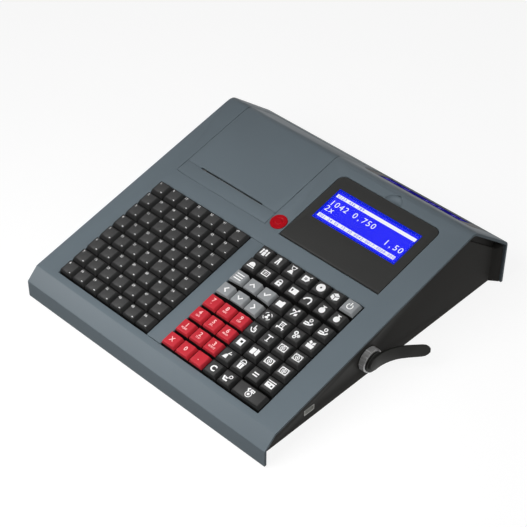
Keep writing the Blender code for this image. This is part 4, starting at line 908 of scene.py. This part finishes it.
# The keys' icons: plain signs in a square of 2 by 2 units about the cap's centre
icons = {
    "people": [
        ("disc", 0, 0.5, 0.34),
        ("bar", 0, -0.35, 0.72, 1.0),
        ("disc", -0.72, 0.45, 0.24),
        ("bar", -0.74, -0.2, 0.36, 0.8),
        ("disc", 0.72, 0.45, 0.24),
        ("bar", 0.74, -0.2, 0.36, 0.8),
    ],
    "person": [
        ("disc", 0, 0.58, 0.36),
        ("bar", -0.24, -0.3, 0.34, 1.1, -8),
        ("bar", 0.24, -0.3, 0.34, 1.1, 8),
    ],
    "hourglass": [
        ("bar", 0, 0.86, 1.3, 0.18),
        ("bar", 0, -0.86, 1.3, 0.18),
        ("line", [(-0.5, 0.8), (-0.4, 0.35), (0, 0), (0.4, 0.35), (0.5, 0.8)], 0.15),
        ("shape", [(-0.55, -0.8), (0.55, -0.8), (0.4, -0.3), (0, 0.05), (-0.4, -0.3)]),
    ],
    "tag": [
        (
            "shape",
            [(-0.8, -0.75), (0.35, -0.75), (0.85, -0.1), (0.35, 0.6), (-0.8, 0.6)],
            circle(-0.1, -0.08, 0.3),
        ),
        ("disc", -0.1, -0.08, 0.13),
        ("bar", 0.75, 0.65, 0.6, 0.16, 45),
    ],
    "ball": [
        ("shape", circle(0, 0, 0.85), circle(0, 0.05, 0.24, 5)),
        ("ring", 0, 0, 0.9, 0.12),
    ],
    "box": [
        ("shape", [(-0.8, 0.45), (0, 0.9), (0.8, 0.45), (0, 0.05)]),
        ("shape", [(-0.85, 0.3), (-0.07, -0.1), (-0.07, -0.95), (-0.85, -0.55)]),
        ("shape", [(0.85, 0.3), (0.85, -0.55), (0.07, -0.95), (0.07, -0.1)]),
    ],
    "bell": [
        ("shape", [(-0.75, -0.3), (0.75, -0.3), *arc(0, 0, 0.7, 0, 180, 10)]),
        ("bar", 0, -0.55, 1.8, 0.24),
    ],
    "note": [
        ("shape", box(0, 0, 1.7, 1.3), box(0, 0, 1.3, 0.9)),
        ("bar", 0, 0.18, 0.9, 0.14),
        ("bar", 0, -0.16, 0.9, 0.14),
    ],
    "padlock": [
        ("shape", box(0, -0.4, 1.3, 1.0), circle(0, -0.35, 0.16)),
        ("ring", 0, 0.15, 0.45, 0.24, 0, 180),
    ],
    "card": [
        ("shape", box(0, 0, 1.8, 1.3), box(-0.45, 0.1, 0.36, 0.6)),
    ],
    "pipe": [
        (
            "line",
            [(-0.95, -0.3), (-0.65, 0.25), *arc(0.1, 0, 0.62, 125, -20, 8), (0.6, -0.85)],
            0.34,
        ),
    ],
    "bag": [
        ("disc", 0, -0.2, 0.68),
        ("bar", 0, 0.55, 0.42, 0.4),
        ("bar", 0, 0.82, 0.9, 0.16),
    ],
    "power": [("ring", 0, -0.08, 0.62, 0.22, 125, 415), ("bar", 0, 0.5, 0.22, 0.8)],
    "menu": [("bar", 0, 0.6, 1.9, 0.24), ("bar", 0, 0, 1.9, 0.24), ("bar", 0, -0.6, 1.9, 0.24)],
    "up": [("line", [(-0.62, -0.28), (0, 0.36), (0.62, -0.28)], 0.28)],
    "tick": [("line", [(-0.62, 0.08), (-0.18, -0.4), (0.72, 0.5)], 0.28)],
    "left": [("line", [(0.36, 0.62), (-0.28, 0), (0.36, -0.62)], 0.28)],
    "down": [("line", [(-0.62, 0.3), (0, -0.34), (0.62, 0.3)], 0.28)],
    "right": [("line", [(-0.36, 0.62), (0.28, 0), (-0.36, -0.62)], 0.28)],
    "page": [
        (
            "shape",
            [(-0.8, -0.75), (0.8, -0.75), (0.8, 0.75), (0.3, 0.75), (0.1, 0.5), (-0.8, 0.5)],
        ),
    ],
    "scanned": [
        ("ring", 0, 0, 0.9, 0.16, 20, 70),
        ("ring", 0, 0, 0.9, 0.16, 110, 160),
        ("ring", 0, 0, 0.9, 0.16, 200, 250),
        ("ring", 0, 0, 0.9, 0.16, 290, 340),
        ("disc", 0, 0.28, 0.28),
        ("shape", [(-0.4, -0.55), (0.4, -0.55), *arc(0, -0.4, 0.4, 0, 180, 8)]),
    ],
    "pointer": [
        ("bar", -0.1, 0.4, 0.2, 1.1),
        ("bar", 0.16, 0.05, 0.2, 0.7),
        ("bar", 0.42, 0, 0.2, 0.6),
        ("line", [(-0.75, 0.1), (-0.45, -0.45), (-0.1, -0.7), (0.45, -0.6), (0.55, -0.1)], 0.24),
    ],
    "slip": [("shape", box(0, 0, 1.3, 1.6), box(0.1, 0.15, 0.56, 0.5))],
    "broom": [
        ("shape", [(-0.75, -0.8), (0.3, -0.8), (0.2, 0.1), (-0.3, 0.1)]),
        ("line", [(-0.05, 0.1), (0.35, 0.95)], 0.2),
        ("line", [(0.3, 0.35), (0.8, 0.5)], 0.18),
    ],
    "clear": [("text", "C", 0, 0, 1.25, 0.035)],
    "fork": [
        ("line", [(-0.55, -0.85), (0.35, 0.75)], 0.22),
        ("line", [(-0.7, 0.1), (-0.4, 0.5), (0.1, 0.3)], 0.2),
        ("disc", -0.72, 0.5, 0.22),
        ("disc", 0.4, 0.8, 0.24),
        ("shape", [(0.15, -0.75), (0.75, -0.5), (0.6, 0.1), (0.1, -0.2)]),
    ],
    "scroll": [
        ("bar", 0, 0.72, 1.3, 0.26),
        ("bar", 0, -0.55, 1.8, 0.26),
        ("bar", -0.4, 0.1, 0.18, 1.1),
        ("bar", 0.4, 0.1, 0.18, 1.1),
        ("bar", 0, 0.32, 0.8, 0.14),
        ("bar", 0, 0.0, 0.8, 0.14),
        ("bar", -0.7, -0.82, 0.24, 0.3),
        ("bar", 0.7, -0.82, 0.24, 0.3),
    ],
    "type": [("bar", 0, 0, 0.26, 1.5), ("bar", 0, 0.68, 1.3, 0.22), ("bar", 0, -0.7, 0.7, 0.16)],
    "pages": [
        ("bar", -0.45, -0.1, 0.95, 1.4),
        ("shape", [(0.15, -0.6), (0.9, -0.8), (0.9, 0.65), (0.15, 0.8)]),
    ],
    "bucket": [
        ("ring", 0, 0.62, 0.55, 0.18, 0, 180),
        ("bar", 0, 0.5, 1.5, 0.18),
        ("shape", [(-0.6, 0.3), (-0.5, -0.9), (0.5, -0.9), (0.6, 0.3)], box(0, -0.3, 0.14, 0.9)),
    ],
    "tickCard": [
        ("line", [(-0.85, 0.15), (-0.6, -0.65), (0.35, -0.65)], 0.36),
        ("line", [(-0.5, 0.05), (-0.2, -0.2), (0.15, 0.1)], 0.24),
        ("ring", 0.5, 0.45, 0.32, 0.16),
    ],
    "handWithCoin": [
        ("line", [(-0.9, -0.75), (-0.2, -0.75), (0.6, -0.45), (0.9, 0.05)], 0.36),
        ("line", [(-0.9, -0.35), (-0.4, -0.25), (0.2, -0.25)], 0.3),
        ("ring", 0.1, 0.5, 0.32, 0.2),
    ],
    "gears": [
        ("ring", -0.3, 0.4, 0.34, 0.26),
        ("ring", -0.1, -0.5, 0.3, 0.24),
        ("ring", 0.55, 0.0, 0.24, 0.2),
        ("bar", 0.6, 0.0, 0.75, 0.14),
        ("bar", 0.6, 0.0, 0.14, 0.75),
    ],
    "banknote": [
        ("shape", box(0, 0, 1.9, 1.5), box(0, 0, 1.5, 1.1)),
        ("ring", 0, 0, 0.42, 0.16),
        ("disc", 0, 0, 0.2),
        ("disc", -0.72, 0.52, 0.2),
        ("disc", 0.72, 0.52, 0.2),
        ("disc", -0.72, -0.52, 0.2),
        ("disc", 0.72, -0.52, 0.2),
    ],
    "equals": [("bar", 0, 0.28, 1.2, 0.26), ("bar", 0, -0.28, 1.2, 0.26)],
    "plant": [
        ("shape", [(-0.85, 0.05), (-0.75, -0.85), (0.75, -0.85), (0.85, 0.05)]),
        ("shape", [(-0.1, 0.05), (-0.75, 0.35), (-0.6, 0.9), (-0.05, 0.6)]),
        ("shape", [(0.1, 0.05), (0.75, 0.3), (0.65, 0.9), (0.1, 0.6)]),
    ],
    "list": [
        ("bar", 0, 0.68, 1.9, 0.2),
        ("shape", box(0, -0.2, 1.9, 1.1), box(-0.35, 0.0, 0.6, 0.16), circle(0.5, -0.25, 0.22)),
    ],
    "coinBag": [
        ("ring", 0, -0.3, 0.62, 0.16),
        ("disc", 0, -0.3, 0.3),
        ("line", [(-0.45, 0.15), (-0.75, 0.65), (-0.35, 0.9)], 0.3),
        ("line", [(0.45, 0.15), (0.2, 0.6)], 0.3),
        ("shape", box(0.35, 0.6, 1.0, 0.62), box(0.35, 0.6, 0.6, 0.2)),
    ],
}
keyIcons = {
    "back_function_keys": (
        "people person hourglass tag ball box bell note padlock card pipe bag bag".split()
    ),
    "power_key": ["power"],
    "menu_keys": "menu up tick".split(),
    "arrow_keys": "left down right".split(),
    "function_key_column_4": "page scanned pointer slip broom clear".split(),
    "function_key_column_5": "fork scroll type pages bucket tickCard".split(),
    "function_key_column_6": "handWithCoin gears banknote banknote equals".split(),
    "function_key_column_7": "handWithCoin plant banknote banknote list".split(),
    "total_key": ["coinBag"],
}
legendLook = {
    "iconHalf": 5.0 * mm,
    "numberHeight": 2.6 * mm,
    "numberPlace": (-4.4 * mm, 4.5 * mm),
    "dashPlace": (4.6 * mm, -4.9 * mm),
    "dashSize": (1.8 * mm, 0.7 * mm),
    "digitHeight": 4.6 * mm,
    "digitUp": 2.0 * mm,
    "letterHeight": 2.0 * mm,
    "letterDown": 2.4 * mm,
    "signWeight": 0.02,
    "letterWeight": 0.015,
    "ink": 0.03 * mm,
    "sunk": 0.01 * mm,
}
phoneLetters = dict(zip("789456123", ".- ABC DEF GHI JKL MNO PQRS TUV WXYZ".split()))


def legendOf(node, bm):
    places = capPlaces[node]
    look = legendLook
    if node.startswith("left_key_column"):
        first = (int(node[-1]) - 1) * len(places) + 1
        for i, place in enumerate(places):
            x, y = look["numberPlace"]
            addText(bm, str(first + i), place.x + x, place.y + y, look["numberHeight"])
            x, y = look["dashPlace"]
            addBar(bm, place.x + x, place.y + y, *look["dashSize"])
    elif node in keyIcons:
        for name, place in zip(keyIcons[node], places):
            drawMarks(bm, icons[name], place.x, place.y, look["iconHalf"])
    else:
        place = places[0]
        sign = {"multiply_key": "X", "point_key": "."}.get(node, node[-1])
        if sign in phoneLetters:
            up = look["digitUp"]
            letters = phoneLetters[sign]
            low = place.y - look["letterDown"]
            addText(bm, letters, place.x, low, look["letterHeight"], look["letterWeight"])
        else:
            up = 0
        addText(bm, sign, place.x, place.y + up, look["digitHeight"], look["signWeight"])


for node in keyNodes:
    marks = bmesh.new()
    legendOf(node, marks)
    surface = capTop + (keyLooks["plateRise"] if finishOf[node] == "keyBlackPbt" else 0)
    inkPlates(marks, surface - legendLook["sunk"], legendLook["ink"] + legendLook["sunk"], slope)
    ink = "pinkInk" if finishOf[node] == "keyRedPbt" else "whiteInk"
    addPiece(node + "_legends", marks, ink, bodyOf(node))
print("legends ready")

# Operator display: lit layers under the window, each a thin plate on the one below
lcdLook = {
    "border": 0.8 * mm,
    "rim": 3.2 * mm,
    "layer": 0.05 * mm,
    "topBar": (6.2 * mm, 10.5 * mm),  # bars and lines are measured from the rear edge of the view
    "lineTops": (15.1 * mm, 23.5 * mm),
    "bottomBar": (35.8 * mm, 40.4 * mm),
    "barEnd": 105.2 * mm,
    "letter": 7 * mm,
    "cell": 6.1 * mm,
    "priceCell": 13,
    "smallLetter": 3.2 * mm,
    "smallCell": 2.95 * mm,
}
lcdLow, lcdHigh = boxIn(slope, "lcd_module")
viewLeft = lcdLow.x + lcdLook["border"]
viewRight = lcdHigh.x - lcdLook["border"]
viewBack = lcdHigh.y - lcdLook["border"]
viewFront = lcdLow.y + lcdLook["border"]
viewMiddle = ((viewLeft + viewRight) / 2, (viewFront + viewBack) / 2)


def viewSize(inset):
    return viewRight - viewLeft - 2 * inset, viewBack - viewFront - 2 * inset


def drawRim(bm):
    addBar(bm, *viewMiddle, *viewSize(0))


def drawField(bm):
    addBar(bm, *viewMiddle, *viewSize(lcdLook["rim"]))


def drawWhite(bm):  # the two bars, and the large figures between them
    look = lcdLook
    start = viewLeft + look["rim"]
    bars = (
        (look["topBar"], viewRight - look["rim"]),
        (look["bottomBar"], viewLeft + look["barEnd"]),
    )
    for (top, foot), end in bars:
        addBar(bm, (start + end) / 2, viewBack - (top + foot) / 2, end - start, foot - top)
    upper, lower = look["lineTops"]
    rows = (("1042 0,750", upper, 0), ("2x", lower, 0), ("1,50", lower, look["priceCell"]))
    for words, top, first in rows:
        x = start + (first + 0.5) * look["cell"]
        y = viewBack - top - look["letter"] / 2
        addText(bm, words, x, y, look["letter"], spread=look["cell"])


def drawSmall(bm):  # the small figures on the bars
    look = lcdLook
    rows = (
        (look["topBar"], "0123 456 789"),
        (look["bottomBar"], "001 24.05 12:30 0042-0017-0008-000"),
    )
    for (top, foot), words in rows:
        x = viewLeft + look["rim"] + look["smallCell"]
        y = viewBack - (top + foot) / 2
        addText(bm, words, x, y, look["smallLetter"], spread=look["smallCell"])


def addLcdPlate(name, finish, level, draw):
    bm = bmesh.new()
    draw(bm)
    layer = lcdLook["layer"]
    inkPlates(bm, lcdHigh.z + level * layer, layer, slope)
    addPiece(name, bm, finish, bodyOf("lcd_module"))


# The window's border is printed black, so that only the lit field shows
maskLook = {"hidden": 0.8 * mm, "over": 0.4 * mm, "ink": 0.02 * mm}


def addWindowMask(hidden, over, ink):
    low, high = boxIn(slope, "display_window")
    size = high - low
    middle = (low + high) / 2
    bm = bmesh.new()
    outer = box(middle.x, middle.y, size.x + 2 * over, size.y + 2 * over)
    addShape(bm, outer, box(*viewMiddle, *viewSize(hidden)))
    inkPlates(bm, high.z, ink, slope)
    addPiece("window_mask", bm, "bezelBlackAbs", bodyOf("display_window"))


addWindowMask(**maskLook)
addLcdPlate("lcd_rim", "backlitRim", 0, drawRim)
addLcdPlate("lcd_field", "backlitBlue", 1, drawField)
addLcdPlate("lcd_letters", "backlitWhite", 2, drawWhite)
addLcdPlate("lcd_small_letters", "backlitBlue", 3, drawSmall)

# Customer display: a dark blue field with a row of violet figures, in the rear slope's frame
customerLook = {
    "border": 3 * mm,
    "layer": 0.05 * mm,
    "words": "12 345  0,75",
    "figure": 9 * mm,
    "weight": 0.01,
    "cell": 9 * mm,
}
faceLow, faceHigh = boxIn(rearSlope, "customer_display")
faceMiddle = (faceLow + faceHigh) / 2


def drawCustomerField(bm):
    width = faceHigh.x - faceLow.x - 2 * customerLook["border"]
    depth = faceHigh.y - faceLow.y - 2 * customerLook["border"]
    addBar(bm, faceMiddle.x, faceMiddle.y, width, depth)


def drawFigures(bm):  # they read upright from behind the register
    look = customerLook
    start = -(len(look["words"]) - 1) / 2 * look["cell"]
    addText(bm, look["words"], start, 0, look["figure"], look["weight"], look["cell"])
    turned = Matrix.Rotation(math.pi, 4, "Z")
    place = Matrix.Translation((faceMiddle.x, faceMiddle.y, 0)) @ turned
    bmesh.ops.transform(bm, matrix=place, verts=bm.verts[:])


def addCustomerPlate(name, finish, level, draw):
    bm = bmesh.new()
    draw(bm)
    layer = customerLook["layer"]
    inkPlates(bm, faceHigh.z + level * layer, layer, rearSlope)
    addPiece(name, bm, finish, bodyOf("customer_display"))


addCustomerPlate("customer_field", "customerBlue", 0, drawCustomerField)
addCustomerPlate("customer_figures", "customerViolet", 1, drawFigures)
print("displays ready")

# Floor, lights and camera
def litForEye(tree, dim, lit):  # lit for the camera, reflections and clear pieces, dim for the rest
    path = addNode(tree, "ShaderNodeLightPath").outputs
    seen = addNode(
        tree,
        "ShaderNodeMath",
        links={0: path["Is Camera Ray"], 1: path["Is Glossy Ray"]},
        operation="MAXIMUM",
    )
    shown = addNode(
        tree,
        "ShaderNodeMath",
        links={0: seen.outputs[0], 1: path["Is Transmission Ray"]},
        operation="MAXIMUM",
    )
    level = addNode(
        tree, "ShaderNodeMapRange", {"To Min": dim, "To Max": lit}, {"Value": shown.outputs[0]}
    )
    return level.outputs["Result"]


# The floor: matt paint whose grey clouds slightly, and which looks white to the eye
floorLook = {"half": 4000 * mm, "cloud": 300 * mm, "tones": ("#747474", "#7a7a7a"), "glow": 0.88}


def paintedFloor(cloud, tones, glow):
    made = bpy.data.materials.new("paintedFloor")
    made.use_nodes = True
    tree = made.node_tree
    tree.nodes.remove(tree.nodes["Principled BSDF"])
    place = addNode(tree, "ShaderNodeTexCoord").outputs["Object"]
    clouds = addNode(
        tree, "ShaderNodeTexNoise", {"Scale": 1 / cloud, "Detail": 2}, {"Vector": place}
    )
    tone = addNode(
        tree,
        "ShaderNodeMix",
        {6: linear(tones[0]), 7: linear(tones[1])},
        {0: clouds.outputs["Fac"]},
        data_type="RGBA",
    )
    paint = addNode(tree, "ShaderNodeBsdfDiffuse", links={"Color": tone.outputs[2]})
    light = addNode(tree, "ShaderNodeEmission", links={"Strength": litForEye(tree, 0, glow)})
    both = addNode(
        tree, "ShaderNodeAddShader", links={0: paint.outputs[0], 1: light.outputs[0]}
    )
    linkTo(tree, tree.nodes["Material Output"], {"Surface": both.outputs[0]})
    return made


def addFloor(half, **paint):
    bm = bmesh.new()
    bmesh.ops.create_grid(bm, x_segments=1, y_segments=1, size=half)
    mesh = bpy.data.meshes.new("floor")
    bm.to_mesh(mesh)
    bm.free()
    mesh.materials.append(paintedFloor(**paint))
    floor = bpy.data.objects.new("floor", mesh)
    bpy.context.scene.collection.objects.link(floor)


def addWorld(dim):
    world = bpy.data.worlds.new("studio")
    bpy.context.scene.world = world
    world.use_nodes = True
    background = world.node_tree.nodes["Background"]
    background.inputs["Color"].default_value = linear("#ffffff")
    linkTo(world.node_tree, background, {"Strength": litForEye(world.node_tree, dim, 1)})


worldDim = 0.07
lamps = {  # place in metres, width in metres, power in watts, and whether it lights or only reflects
    "above": ((0.0, -0.42, 0.54), 0.45, 3.4, True),
    "left": ((-1.1, -0.7, 1.1), 0.7, 1.4, True),
    "right": ((1.1, 0.1, 0.8), 0.7, 3, True),
    "sheen": ((-0.6, -0.64, 0.44), 0.15, 8, False),  # the highlight along the front bevel
}


def addLamp(name, place, width, power, lights):
    light = bpy.data.lights.new(name, "AREA")
    light.size = width
    light.energy = power
    lamp = bpy.data.objects.new(name, light)
    bpy.context.scene.collection.objects.link(lamp)
    lamp.visible_diffuse = lights
    lamp.location = place
    lamp.rotation_euler = (-Vector(place)).to_track_quat("-Z", "Y").to_euler()  # at the origin


addFloor(**floorLook)
addWorld(worldDim)
for name, values in lamps.items():
    addLamp(name, *values)

cameraLook = {
    "azimuth": math.radians(43.755),
    "elevation": math.radians(40.712),
    "roll": math.radians(0.329),
    "distance": 1.50863,
    "target": Vector((0.004155, -0.024725, 0.062)),
    "sensor": 36,
    "focalShare": 1495.85 / 527,  # focal length over the width of the picture
}


def addCamera(azimuth, elevation, roll, distance, target, sensor, focalShare):
    data = bpy.data.cameras.new("camera")
    data.sensor_width = sensor
    data.lens = sensor * focalShare
    camera = bpy.data.objects.new("camera", data)
    bpy.context.scene.collection.objects.link(camera)
    flat = math.cos(elevation)
    back = Vector((math.sin(azimuth) * flat, -math.cos(azimuth) * flat, math.sin(elevation)))
    right = Vector((math.cos(azimuth), math.sin(azimuth), 0))
    up = back.cross(right)
    rolledRight = math.cos(roll) * right + math.sin(roll) * up
    rolledUp = math.cos(roll) * up - math.sin(roll) * right
    place = Matrix((rolledRight, rolledUp, back)).transposed().to_4x4()
    place.translation = target + back * distance
    camera.matrix_world = place
    bpy.context.scene.camera = camera


addCamera(**cameraLook)
bpy.context.scene.view_settings.view_transform = "Standard"
print("stage ready")
